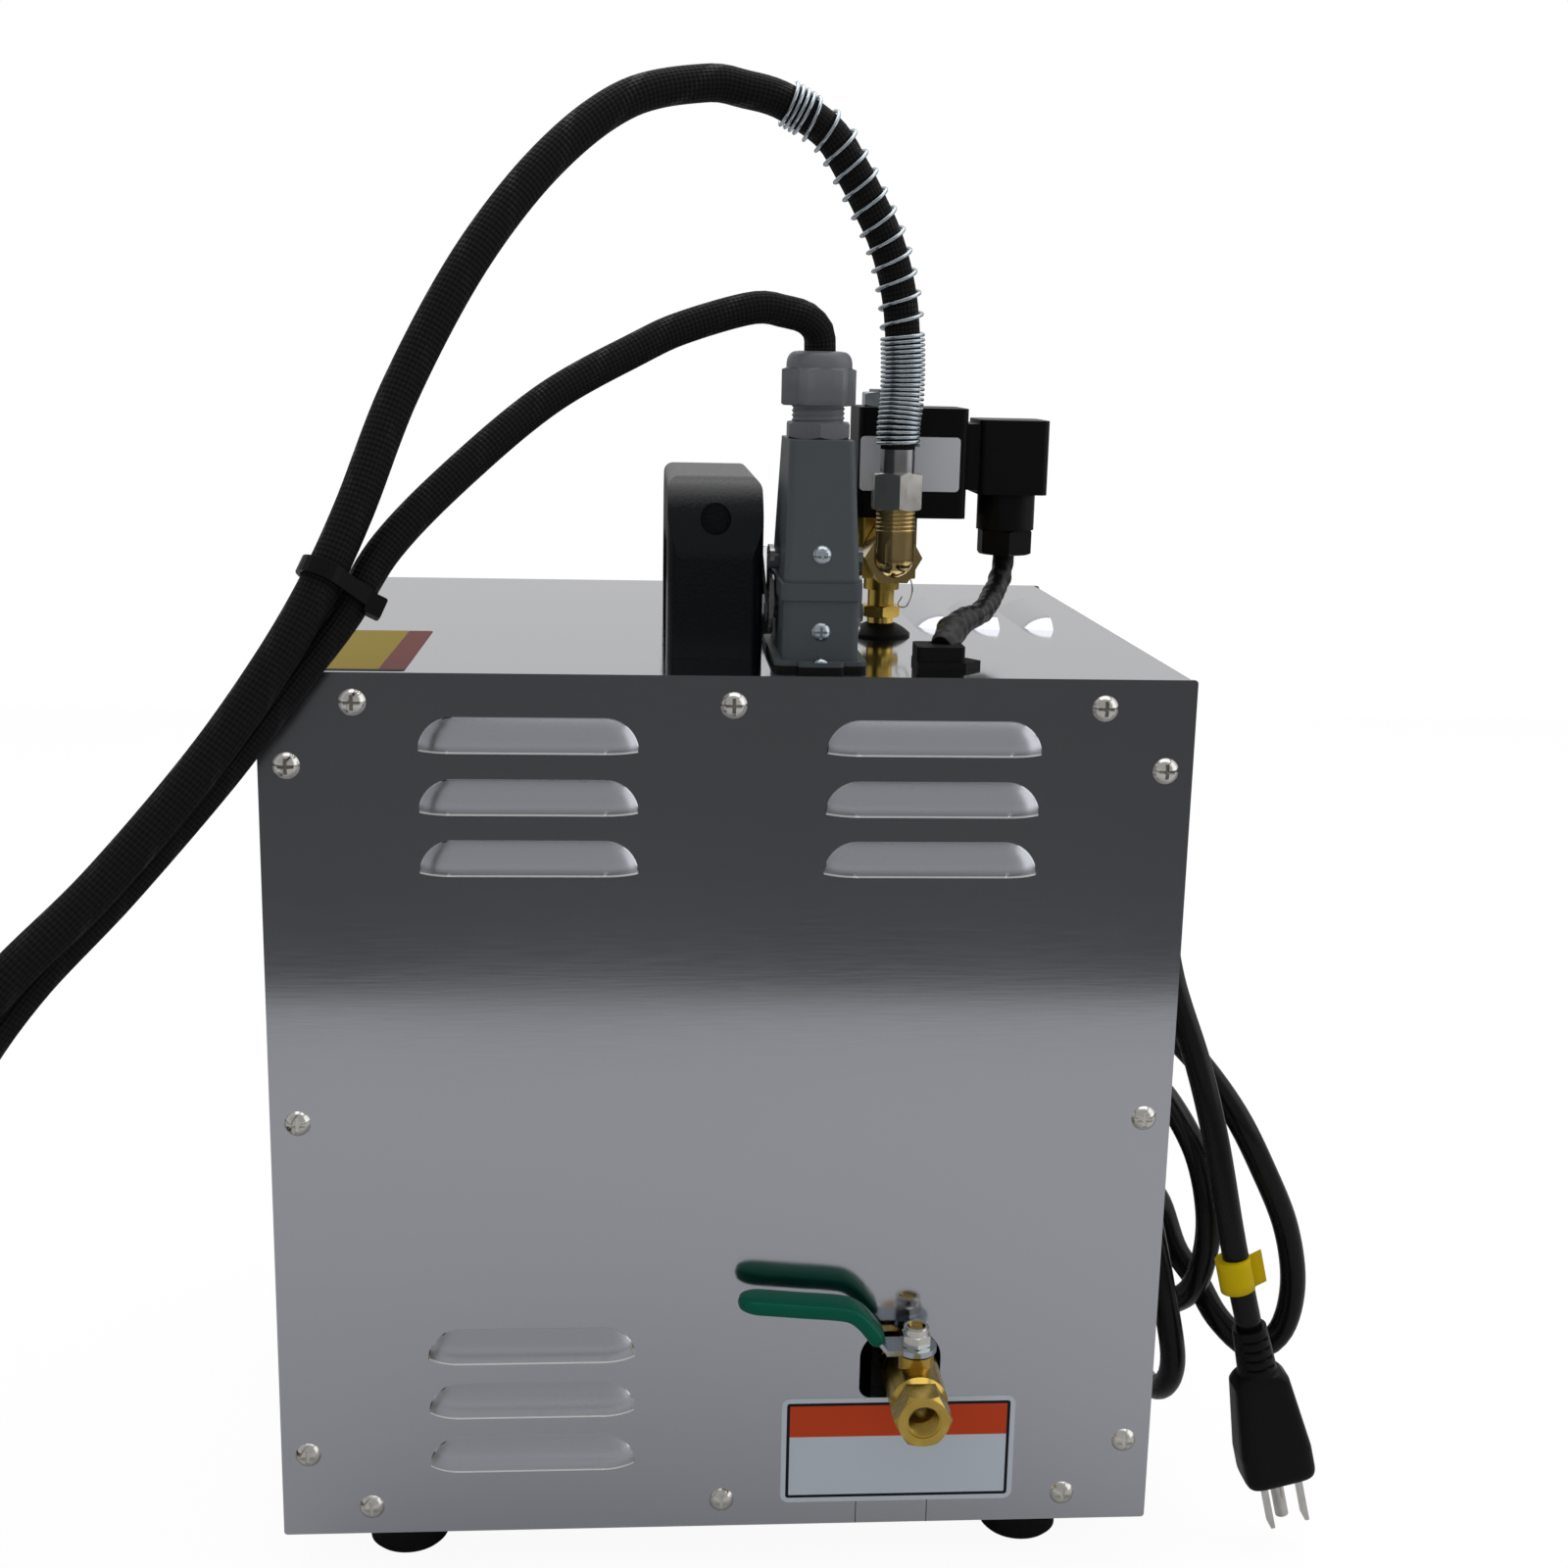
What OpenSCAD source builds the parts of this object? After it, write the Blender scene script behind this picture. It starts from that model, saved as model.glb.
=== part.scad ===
// Steam iron boiler: a free-standing sheet-metal cabinet that feeds steam and mains
// power to a hand iron. X runs across the cabinet, Y from the connection side into the
// depth, Z up from the surface that the rubber feet stand on. Sizes are millimetres.

/* [Cabinet] */
// Width of the cabinet
cab_w = 300; // [290:1:330]
// Depth over both screwed panels
cab_d = 265; // [255:1:300]
// Height of the cabinet above its feet
cab_h = 300; // [290:1:330]
// Thickness of the stainless sheet
sheet_t = 1.2; // [1:0.1:1.6]
// Width of the flanges that take the panel screws
flange_w = 15; // [13:0.5:20]
// Outer radius of the long bends of the wrap
bend_r = 3; // [2:0.5:5]
// Height of the upstands of the base tray
tray_up = 18; // [15:1:24]

/* [Rubber feet] */
// Height of a foot
foot_h = 20; // [14:1:30]
// Diameter of a foot where it stands
foot_d = 27.5; // [22:0.5:34]
// Distance of a foot's centre from the side of the cabinet
foot_in_x = 39; // [30:1:50]
// Distance of a foot's centre from the near and far faces
foot_in_y = 31; // [19:1:40]

/* [Panel screws] */
// Diameter of a screw head
screw_head_d = 8.6; // [7:0.1:9]
// Height of a screw head
screw_head_h = 2.6; // [2:0.1:3.2]
// Diameter of a screw's thread
screw_d = 4; // [3:0.5:5]
// Length of a screw under its head
screw_len = 8; // [6:0.5:10]
// Distance of the outer screws of a row from the middle
row_screw_x = 120; // [100:1:130]
// Distance of the upper row from the top edge
top_screw_in = 9.5; // [7:0.5:10]
// Distance of the lower row from the bottom edge
low_screw_in = 10; // [7:0.5:12]
// Distance of the side screws from the side edge
side_screw_in = 9; // [7:0.5:10]
// Distance of the side screws from the top and bottom edges
side_screw_up = 30; // [24:1:40]

/* [Louvres] */
// Length of a louvre
louvre_len = 70; // [50:1:80]
// Width of a louvre, square to its open edge
louvre_w = 11; // [8:0.5:14]
// Height of a louvre's open edge above the sheet
louvre_h = 4.5; // [3:0.1:6]
// Distance between the rear louvres
louvre_pitch = 20; // [15:0.5:24]
// Distance from the top or bottom edge to the first louvre's edge
louvre_first = 25; // [22:0.5:30]
// Distance from the middle of the rear panel to the middle of a louvre
louvre_x = 65; // [50:1:75]
// Distance from the middle of the top to the first top louvre's open edge
top_louvre_x = 85; // [80:1:90]
// Distance between the top louvres
top_louvre_pitch = 20.5; // [16:0.5:22]
// Distance of the top louvres' middle from the near face
top_louvre_y = 150; // [150:1:200]

/* [Carry handle] */
// Width of the handle across the grip
handle_w = 32; // [26:1:33]
// Length of the handle over both legs
handle_len = 130; // [110:1:135]
// Height of the handle above the top
handle_h = 59; // [50:1:66]
// Radius of the grip's top corners seen from the side
handle_r = 26; // [15:1:30]
// Radius of the grip's long edges
handle_edge_r = 4; // [2:0.5:8]
// Length of the finger gap
gap_len = 86; // [80:1:90]
// Height of the finger gap
gap_h = 36; // [32:1:38]
// Distance of the handle's middle from the cabinet's middle, to the left
handle_off_x = 5; // [5:0.5:10]
// Distance of the handle's near end from the near face
handle_y = 38; // [30:1:45]
// Diameter of the hole in the handle's near end
end_hole_d = 10.3; // [6:0.1:12]

/* [Iron connector] */
// Distance of the connector's middle from the cabinet's middle
con_x = 28.5; // [28.5:0.5:32]
// Distance of the connector base's near end from the near face
con_y = 14; // [11:1:20]
// Width of the connector base
con_w = 24.8; // [22:0.2:25]
// Length of the connector base
con_len = 60; // [60:1:70]
// Height of the base under its collar
base_h = 22.6; // [20:0.2:24]
// Height of the collar round the base's top
collar_h = 5.4; // [4:0.2:7]
// Height of the hood above the collar
hood_h = 45; // [40:1:50]
// Width of the hood's top
hood_top_w = 21.5; // [18:0.5:23]
// Length of the hood's top
hood_top_len = 40; // [36:1:50]
// Thickness of the latch lever's sheet
latch_t = 1.5; // [1:0.1:2]
// Diameter of the pegs that the latch hooks hold
peg_d = 5; // [4:0.5:6]

/* [Cable gland] */
// Width across the flats of the gland's fixed hexagon
gland_af = 20; // [18:0.5:21]
// Width across the flats of the gland nut
gland_nut_af = 21; // [19:0.5:22]
// Outer diameter of the iron's cable
cable_d = 10.5; // [8:0.1:12]

/* [Steam outlet] */
// Distance of the outlet column from the cabinet's middle
col_x = 58; // [57:0.5:60]
// Distance of the outlet column from the near face
col_y = 99; // [97:0.5:105]
// Distance of the hose's axis from the near face
hose_y = 64; // [62:0.5:66]
// Outer diameter of the steam pipe
pipe_d = 9.7; // [8:0.1:12]
// Bore of the steam pipe
pipe_bore = 6; // [4:0.1:7]
// Outer diameter of the steam hose
hose_d = 12; // [10:0.1:12]
// Diameter of the elbow's body
elbow_d = 13.5; // [13:0.5:16]
// Width across the flats of the hose nut
hose_nut_af = 16.3; // [15:0.1:18]
// Diameter of the solenoid's plunger
plunger_d = 9.8; // [8:0.1:10]
// Width of the solenoid coil along X
coil_w = 39; // [36:1:40]
// Width of the solenoid coil along Y
coil_len = 34; // [30:1:36]
// Height of the solenoid coil
coil_h = 38.5; // [34:0.5:44]
// Diameter of the coil's lead
lead_d = 8.9; // [6:0.1:10]

/* [Spring guard] */
// Thickness of the spring's wire
guard_wire = 1.1; // [0.8:0.05:1.2]
// Distance between the closed coils
closed_pitch = 1.6; // [1.6:0.05:2]
// Distance between the open coils
open_pitch = 6.7; // [5:0.1:8]
// Number of closed coils at the foot
closed_coils = 23; // [10:1:24]
// Number of open coils
open_coils = 12; // [6:1:14]
// Number of closing coils at the end
end_coils = 4; // [2:1:5]

/* [Drain valve] */
// Distance of the valve's axis from the cabinet's middle
valve_x = 64.5; // [62:0.5:70]
// Height of the valve's axis above the cabinet's bottom
valve_up = 58.3; // [56:0.1:62]
// How far the valve stands out from the rear panel
valve_out = 35; // [34:0.5:40]
// Width across the flats of the valve's hexagons
valve_af = 17; // [16:0.1:18]
// Radius of the outlet's threaded bore
outlet_r = 5.7; // [5:0.05:6]
// Length of the outlet's thread
outlet_len = 9.5; // [8:0.5:10]
// Diameter of the ball
ball_d = 14; // [13:0.5:15]
// Bore through the ball
ball_bore = 8; // [6:0.5:9]
// Diameter of the valve's stem
stem_d = 6; // [5:0.5:7]
// Length of the lever from the stem to its tip
lever_len = 59; // [50:1:70]
// Width of the vinyl grip
grip_w = 12; // [10:0.5:14]
// Thickness of the vinyl grip
grip_t = 5; // [4:0.5:7]

/* [Front panel] */
// Diameter of the pressure gauge's bezel
gauge_d = 52; // [44:1:60]
// How far the gauge stands out
gauge_out = 10; // [8:0.5:10]
// Distance of the gauge from the middle, to the left
gauge_x = 70; // [50:1:90]
// Depth of the gauge and the switches below the cabinet's top
control_down = 90; // [70:1:110]
// Width of a rocker switch's frame
switch_w = 25; // [24:0.5:28]
// Height of a rocker switch's frame
switch_h = 32; // [31:0.5:36]
// Distance of the first switch from the middle
switch_x = 40; // [30:1:50]
// Distance between the two switches
switch_pitch = 40; // [36:1:50]
// Diameter of a pilot lamp
lamp_d = 10; // [8:0.5:14]

/* [Boiler tank] */
// Diameter of the tank
tank_d = 160; // [150:1:164]
// Length of the tank
tank_len = 220; // [200:1:230]
// Wall of the tank
tank_t = 2; // [1.5:0.1:3]
// Distance of the tank's axis from the near face
tank_y = 140; // [138:1:145]
// Depth of the drain below the tank's axis, as a share of its radius
drain_share = 0.9; // [0.85:0.01:0.95]
// Diameter of the filler cap
cap_d = 36; // [32:1:44]
// Distance of the filler cap from the near face
cap_y = 195; // [190:1:200]

/* [Mains lead] */
// Diameter of the mains lead
mains_d = 9.3; // [7:0.1:10]
// Width of the plug's body
plug_w = 26; // [22:0.5:30]
// Thickness of the plug's body
plug_t = 20; // [16:0.5:24]
// Distance between the plug's two blades
blade_pitch = 12.7; // [12:0.1:14]

/* [Hidden] */
$fn = 48;

// Shared small sizes: overrun of every cut, clearances of the fits.
over = 0.5;
run_gap = 0.05;
fit_gap = 0.1;
free_gap = 0.3;

// Places worked out from the driving sizes.
top_z = foot_h + cab_h;
mid_z = foot_h + cab_h / 2;
front_out = gauge_out;
mid_y = (cab_d + front_out - valve_out) / 2;
valve_z = foot_h + valve_up;
tank_up = valve_up + drain_share * tank_d / 2;
tank_z = foot_h + tank_up;
tray_top = foot_h + sheet_t;
handle_x = -handle_off_x;
sides = [-1, 1];

// The model is drawn from the rear panel's outer face, then centred.
module placed() { translate([0, -mid_y, 0]) children(); }

// Turns a shape drawn with its Z outwards and its Y upwards to either face.
module to_rear(x, z) { translate([x, 0, z]) rotate([90, 0, 0]) children(); }
module to_front(x, z) { translate([x, cab_d, z]) rotate([90, 0, 180]) children(); }
// Lays a profile drawn in X and Z along Y, starting at y.
module along_y(y, length) {
    translate([0, y + length, 0]) rotate([90, 0, 0]) linear_extrude(length) children();
}
// Lays a profile drawn in Y and Z along X, starting at x.
module along_x(x, length) {
    translate([x, 0, 0]) rotate([90, 0, 90]) linear_extrude(length) children();
}

// A rectangle with round corners, centred.
module round_rect(w, d, r) {
    square([w - 2 * r, d], center = true);
    square([w, d - 2 * r], center = true);
    for (x = sides, y = sides)
        translate([x * (w / 2 - r), y * (d / 2 - r)]) circle(r);
}
// A plate with round upright edges.
module round_block(w, d, h, r) { linear_extrude(h) round_rect(w, d, r); }
// An upright shape with only its two top corners round, standing on the X axis.
module arch(w, h, r) {
    translate([-w / 2, 0]) square([w, h - r]);
    translate([-w / 2 + r, 0]) square([w - 2 * r, h]);
    for (x = sides) translate([x * (w / 2 - r), h - r]) circle(r);
}
// A hexagonal prism by its width across flats, with one corner towards +Y.
module hex_bar(af, h) { cylinder(d = af / cos(30), h = h, $fn = 6); }
// A hexagon whose outer corners are turned to a cone at both ends.
module hex_nut(af, h) {
    corner = af / cos(30);
    bevel = (corner - af) / 2;
    intersection() {
        rotate([0, 0, 30]) hex_bar(af, h);
        union() {
            cylinder(d1 = af, d2 = af + 2 * h, h = h / 2);
            translate([0, 0, h / 2]) cylinder(d1 = af + 2 * h, d2 = af, h = h / 2);
            translate([0, 0, bevel / 2]) cylinder(d = corner, h = h - bevel);
        }
    }
}

// Tubes swept along a list of points: tangents, then sides carried along without twist.
function unit(v) = v / norm(v);
function tangent(p, i) = unit(p[min(i + 1, len(p) - 1)] - p[max(i - 1, 0)]);
function level(s, t) = unit(s - (s * t) * t);
function side_list(p) =
    [for (i = 0, s = level([0.3, 1, 0.2], tangent(p, 0)); i < len(p);
        i = i + 1, s = i < len(p) ? level(s, tangent(p, i)) : s) s];
function run_list(p) =
    [for (i = 0, s = 0; i < len(p); i = i + 1,
        s = i < len(p) ? s + norm(p[i] - p[i - 1]) : s) s];
// A tube of varying radius: one ring of n corners across each point of the path.
module tube(path, radii, n) {
    s = side_list(path);
    last = len(path) - 1;
    points = [for (i = [0 : last]) let (t = tangent(path, i), b = cross(t, s[i]))
        for (k = [0 : n - 1])
            path[i] + radii[i] * (cos(360 * k / n) * s[i] + sin(360 * k / n) * b)];
    walls = [for (i = [0 : last - 1], k = [0 : n - 1]) let (m = (k + 1) % n)
        each [[i * n + k, (i + 1) * n + m, i * n + m],
            [i * n + k, (i + 1) * n + k, (i + 1) * n + m]]];
    foot = [for (k = [1 : n - 2]) [0, k, k + 1]];
    head = [for (k = [1 : n - 2]) [last * n, last * n + k + 1, last * n + k]];
    polyhedron(points, concat(walls, foot, head));
}
module even_tube(path, d, n) { tube(path, [for (p = path) d / 2], n); }

// A coil laid in two layers: it winds inwards, climbs in half a turn and winds out.
function pile_r(u, r_out, pitch, turns) =
    u < turns ? r_out - pitch * u
    : u < turns + 0.5 ? r_out - pitch * turns
    : r_out - pitch * turns + pitch * (u - turns - 0.5);
function pile_z(u, low, step, turns) =
    u < turns ? low
    : u < turns + 0.5 ? low + step * (1 - cos(360 * (u - turns))) / 2
    : low + step;
function pile(c, r_out, pitch, step, turns, low, start) =
    let (rings = round(24 * (2 * turns + 0.5)))
    [for (i = [0 : rings]) let (u = i / 24, a = start - 360 * u,
        r = pile_r(u, r_out, pitch, turns))
        [c[0] + r * cos(a), c[1] + r * sin(a), pile_z(u, low, step, turns)]];
// A tube's path with one straight step added before its start and after its end.
function stretched(p, d) = let (n = len(p) - 1) concat(
    [p[0] - d * unit(p[1] - p[0])], p, [p[n] + d * unit(p[n] - p[n - 1])]);

// Louvres: part of a round bar with ball ends, open on one side.
louvre_R = (louvre_w * louvre_w + louvre_h * louvre_h) / (2 * louvre_h);
module louvre_body(r, up, down) {
    intersection() {
        translate([0, 0, louvre_h - louvre_R]) {
            rotate([0, 90, 0])
                cylinder(r = r, h = louvre_len - 2 * louvre_w, center = true);
            for (x = sides)
                translate([x * (louvre_len / 2 - louvre_w), 0, 0]) sphere(r);
        }
        translate([-louvre_len, -up, -down])
            cube([2 * louvre_len, 2 * louvre_w, louvre_h + 2 * down + over]);
    }
}
module louvre_skin() { louvre_body(louvre_R, 0, 0); }
module louvre_cut() {
    louvre_body(louvre_R - sheet_t, sheet_t / 3, sheet_t + over);
}
// The three groups of louvres in the rear panel.
module each_rear_louvre() {
    for (x = sides, i = [0 : 2])
        translate([x * louvre_x, cab_h / 2 - louvre_first - i * louvre_pitch, 0])
            children();
    for (i = [0 : 2])
        translate([-louvre_x, louvre_first - cab_h / 2 + i * louvre_pitch, 0]) children();
}
module each_top_louvre() {
    for (i = [0 : 2])
        translate([top_louvre_x + i * top_louvre_pitch, top_louvre_y, top_z])
            rotate([0, 0, 90]) children();
}

// Panel screws: pan heads with a cross recess, drawn with the head outwards.
module cross_recess(d, depth) {
    for (a = [0, 90]) rotate([0, 0, a])
        translate([-d * 0.3, -d * 0.07, -depth]) cube([d * 0.6, d * 0.14, depth + over]);
}
module pan_screw(d, head_d, head_h, length) {
    crown = (head_d * head_d / 4 + head_h * head_h) / (2 * head_h);
    difference() {
        intersection() {
            cylinder(d = head_d, h = head_h);
            translate([0, 0, head_h - crown]) sphere(crown);
        }
        translate([0, 0, head_h]) cross_recess(head_d, head_h / 2);
    }
    translate([0, 0, -length]) cylinder(d = d, h = length);
}
low_row_y = low_screw_in - cab_h / 2;
top_row_y = cab_h / 2 - top_screw_in;
side_x = cab_w / 2 - side_screw_in;
side_y = cab_h / 2 - side_screw_up;
rear_screw_places = concat(
    [for (x = [-1, 0, 1], y = [low_row_y, top_row_y]) [x * row_screw_x, y]],
    [for (x = sides, y = [-side_y, 0, side_y]) [x * side_x, y]]);
front_screw_places = concat(
    [for (x = sides, y = [low_row_y, top_row_y]) [x * row_screw_x, y]],
    [for (x = sides, y = [-side_y, side_y]) [x * side_x, y]]);
module rear_screws(places) {
    for (p = places) to_rear(p[0], mid_z + p[1]) children();
}
module front_screws(places) {
    for (p = places) to_front(p[0], mid_z + p[1]) children();
}
module screw_holes(d) {
    rear_screws(rear_screw_places)
        translate([0, 0, -screw_len - over]) cylinder(d = d, h = screw_len + 2 * over);
    front_screws(front_screw_places)
        translate([0, 0, -screw_len - over]) cylinder(d = d, h = screw_len + 2 * over);
}
module panel_screws() {
    color("silver") placed() {
        rear_screws(rear_screw_places)
            pan_screw(screw_d, screw_head_d, screw_head_h, screw_len);
        front_screws(front_screw_places)
            pan_screw(screw_d, screw_head_d, screw_head_h, screw_len);
    }
}

// The cabinet: folded tray, inverted-U wrap and two screwed panels.
tray_gap = 0.15;
tray_w = cab_w - 2 * sheet_t - 2 * tray_gap;
tray_d = cab_d - 2 * sheet_t;
tray_end_w = cab_w - 2 * flange_w - 2 * free_gap;
tray_side_up = tray_up * 2 / 3;
foot_places = [for (x = sides, y = [foot_in_y, cab_d - foot_in_y])
    [x * (cab_w / 2 - foot_in_x), y]];
foot_screw_d = 5;
module base_tray() {
    color("silver") placed() difference() {
        union() {
            translate([-tray_w / 2, 2 * sheet_t, foot_h])
                cube([tray_w, tray_d - 2 * sheet_t, sheet_t]);
            translate([-tray_end_w / 2, sheet_t, foot_h])
                cube([tray_end_w, tray_d, sheet_t]);
            for (y = [sheet_t, cab_d - 2 * sheet_t])
                translate([-tray_end_w / 2, y, foot_h])
                    cube([tray_end_w, sheet_t, tray_up]);
            for (x = [-tray_w / 2, tray_w / 2 - sheet_t])
                translate([x, 2 * sheet_t + free_gap, foot_h])
                    cube([sheet_t, tray_d - 2 * sheet_t - 2 * free_gap, tray_side_up]);
        }
        screw_holes(screw_d + 2 * fit_gap);
        for (p = foot_places) translate([p[0], p[1], foot_h - over])
            cylinder(d = foot_screw_d + 2 * fit_gap, h = sheet_t + 2 * over);
    }
}
module cabinet_wrap() {
    inner_r = bend_r - sheet_t;
    color("silver") placed() difference() {
        union() {
            difference() {
                along_y(sheet_t, cab_d - 2 * sheet_t)
                    translate([0, foot_h]) arch(cab_w, cab_h, bend_r);
                along_y(2 * sheet_t, cab_d - 4 * sheet_t)
                    translate([0, foot_h - over])
                        arch(cab_w - 2 * sheet_t, cab_h - sheet_t + over, inner_r);
                along_y(0, cab_d) translate([0, foot_h - over])
                    arch(cab_w - 2 * flange_w, cab_h - flange_w + over, bend_r);
            }
            each_top_louvre() louvre_skin();
        }
        each_top_louvre() louvre_cut();
        screw_holes(screw_d + 2 * fit_gap);
        for (hole = top_holes)
            translate([hole[0], hole[1], top_z - sheet_t - over])
                cylinder(d = hole[2], h = sheet_t + 2 * over);
        translate([0, boot_y, boot_z]) rotate([0, 90, 0])
            cylinder(d = boot_hole_d, h = cab_w);
    }
}
slot_w = 28;
slot_x = -3.5;
slot_up = 14.7;
slot_down = 10.3;
slot_top_r = 10;
slot_low_r = 4;
module panel_sheet() {
    linear_extrude(sheet_t) round_rect(cab_w, cab_h, sheet_t);
}
module valve_slot() {
    translate([slot_x, (slot_up - slot_down) / 2])
        round_rect(slot_w, slot_up + slot_down, slot_top_r);
    translate([slot_x, slot_low_r - slot_down + slot_top_r / 2])
        round_rect(slot_w, 2 * slot_low_r + slot_top_r, slot_low_r);
}
module rear_panel() {
    color("lightgray") placed() difference() {
        to_rear(0, mid_z) difference() {
            union() {
                translate([0, 0, -sheet_t]) panel_sheet();
                each_rear_louvre() louvre_skin();
            }
            each_rear_louvre() louvre_cut();
        }
        screw_holes(screw_d + 4 * fit_gap);
        to_rear(valve_x, valve_z) translate([0, 0, -sheet_t - over])
            linear_extrude(sheet_t + 2 * over) valve_slot();
    }
}
gauge_case_d = gauge_d - 6;
switch_cut_w = switch_w - 3;
switch_cut_h = switch_h - 4;
lamp_up = 34;
lamp_neck_d = lamp_d - 2;
module front_panel() {
    color("lightgray") placed() difference() {
        to_front(0, mid_z) translate([0, 0, -sheet_t]) panel_sheet();
        screw_holes(screw_d + 4 * fit_gap);
        to_front(-gauge_x, top_z - control_down) translate([0, 0, -sheet_t - over])
            cylinder(d = gauge_case_d + 2 * fit_gap, h = sheet_t + 2 * over);
        for (i = [0, 1]) {
            to_front(switch_x + i * switch_pitch, top_z - control_down)
                translate([0, 0, -sheet_t - over]) linear_extrude(sheet_t + 2 * over)
                    square([switch_cut_w + 2 * fit_gap, switch_cut_h + 2 * fit_gap],
                        center = true);
            to_front(switch_x + i * switch_pitch, top_z - control_down + lamp_up)
                translate([0, 0, -sheet_t - over])
                    cylinder(d = lamp_neck_d + 2 * fit_gap, h = sheet_t + 2 * over);
        }
    }
}

// Feet and the screws that hold feet, handle and connector.
foot_pit_d = 12;
foot_pit = foot_h / 2;
foot_nut_af = 8;
foot_nut_h = 4;
module rubber_feet() {
    color("dimgray") placed() for (p = foot_places) translate([p[0], p[1], 0])
        difference() {
            rotate_extrude() polygon([[0, 0], [foot_d / 2 - foot_h / 16, 0],
                [foot_d / 2, foot_h / 16], [foot_d * 0.44, foot_h], [0, foot_h]]);
            translate([0, 0, -over]) cylinder(d = foot_pit_d, h = foot_pit + over);
            translate([0, 0, foot_pit - over])
                cylinder(d = foot_screw_d + 2 * fit_gap, h = foot_h);
        }
}
handle_screw_d = 4;
handle_screw_deep = 12;
leg_len = (handle_len - gap_len) / 2;
handle_screw_places = [for (y = [leg_len / 2, handle_len - leg_len / 2])
    [handle_x, handle_y + y]];
lug_y = con_y - 2.4;
lug_depth = 5;
lug_r = 2;
lug_screw_d = 3;
face_screw_d = 6;
module assembly_screws() {
    color("lightsteelblue") placed() {
        for (p = foot_places) translate([p[0], p[1], foot_pit]) {
            translate([0, 0, -foot_screw_d / 2])
                cylinder(d = foot_pit_d - 3 * free_gap, h = foot_screw_d / 2);
            cylinder(d = foot_screw_d, h = foot_h - foot_pit + sheet_t + foot_nut_h);
            translate([0, 0, foot_h - foot_pit + sheet_t]) hex_bar(foot_nut_af,
                foot_nut_h);
        }
        for (p = handle_screw_places) translate([p[0], p[1], top_z - sheet_t])
            mirror([0, 0, 1]) pan_screw(handle_screw_d, 2 * handle_screw_d,
                handle_screw_d / 2, handle_screw_deep - over);
        translate([con_x, lug_y, top_z + gasket_t + con_flange_t])
            pan_screw(lug_screw_d, 1.7 * lug_screw_d, lug_screw_d / 2, gasket_t);
        translate([con_x, con_y, top_z + base_screw_z]) rotate([90, 0, 0])
            pan_screw(face_screw_d / 2, face_screw_d, face_screw_d / 4, over);
        translate([con_x, con_y - hood_screw_in, top_z + hood_screw_z])
            rotate([90 - hood_taper, 0, 0])
                pan_screw(face_screw_d / 2, face_screw_d, face_screw_d / 4, over);
    }
}

// The carry handle: a moulded bow, round along its long edges, open under the grip.
gap_r = 12;
module handle_side() {
    difference() {
        translate([handle_len / 2, 0]) arch(handle_len, handle_h, handle_r);
        translate([handle_len / 2, -over]) arch(gap_len, gap_h + over, gap_r);
    }
}
module carry_handle() {
    end_hole_up = 46;
    color("#26272a") placed() translate([handle_x, handle_y, top_z]) difference() {
        intersection() {
            along_x(-handle_w / 2, handle_w) handle_side();
            along_y(0, handle_len) arch(handle_w, handle_h, handle_edge_r);
            translate([0, handle_len / 2, 0])
                round_block(handle_w, handle_len, handle_h, handle_edge_r);
        }
        translate([0, -over, end_hole_up]) rotate([-90, 0, 0])
            cylinder(d = end_hole_d, h = leg_len / 2);
        for (p = handle_screw_places)
            translate([p[0] - handle_x, p[1] - handle_y, -over])
                cylinder(d = handle_screw_d + 2 * fit_gap, h = handle_screw_deep + over);
    }
}

// The iron's connector: gasket, flanged base, hood with a gland, and the latch lever.
gasket_t = 1.5;
con_flange_t = 1.5;
con_flange_w = 30;
con_mid_y = con_y + con_len / 2;
con_r = 3;
collar_w = con_w + 1.8;
base_screw_z = 12.3;
hood_screw_z = 37.2;
latch_pin_z = 15;
peg_z = latch_pin_z + 17;
hood_z = base_h + collar_h;
pin_d = 4;
latch_in = con_w / 2 + 1.6;
latch_out = latch_in + latch_t;
pin_head_t = 0.8;
hood_screw_in = (hood_len_at(hood_screw_z) - con_len) / 2;
hood_taper = atan((con_len - hood_top_len) / 2 / (hood_h - sheet_t));
hood_wall_w = con_w - 0.2;
function hood_share(z) = (z - hood_z - sheet_t) / (hood_h - sheet_t);
function hood_len_at(z) = con_len + (hood_top_len - con_len) * hood_share(z);
module connector_gasket() {
    color("#202020") placed() translate([con_x, con_mid_y, top_z])
        difference() {
            union() {
                round_block(con_flange_w, con_len + 6, gasket_t, con_r);
                translate([0, lug_y - con_mid_y, 0])
                    round_block(con_flange_w / 2, lug_depth + 1, gasket_t, lug_r);
            }
            translate([0, lug_y - con_mid_y, -over])
                cylinder(d = lug_screw_d + 2 * fit_gap, h = gasket_t + 2 * over);
        }
}
module latch_pins(d, half, head_d) {
    rotate([0, 90, 0]) cylinder(d = d, h = 2 * half, center = true);
    for (x = sides) translate([x * (half - pin_head_t / 2), 0, 0]) rotate([0, 90, 0])
        cylinder(d = head_d, h = pin_head_t, center = true);
}
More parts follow.
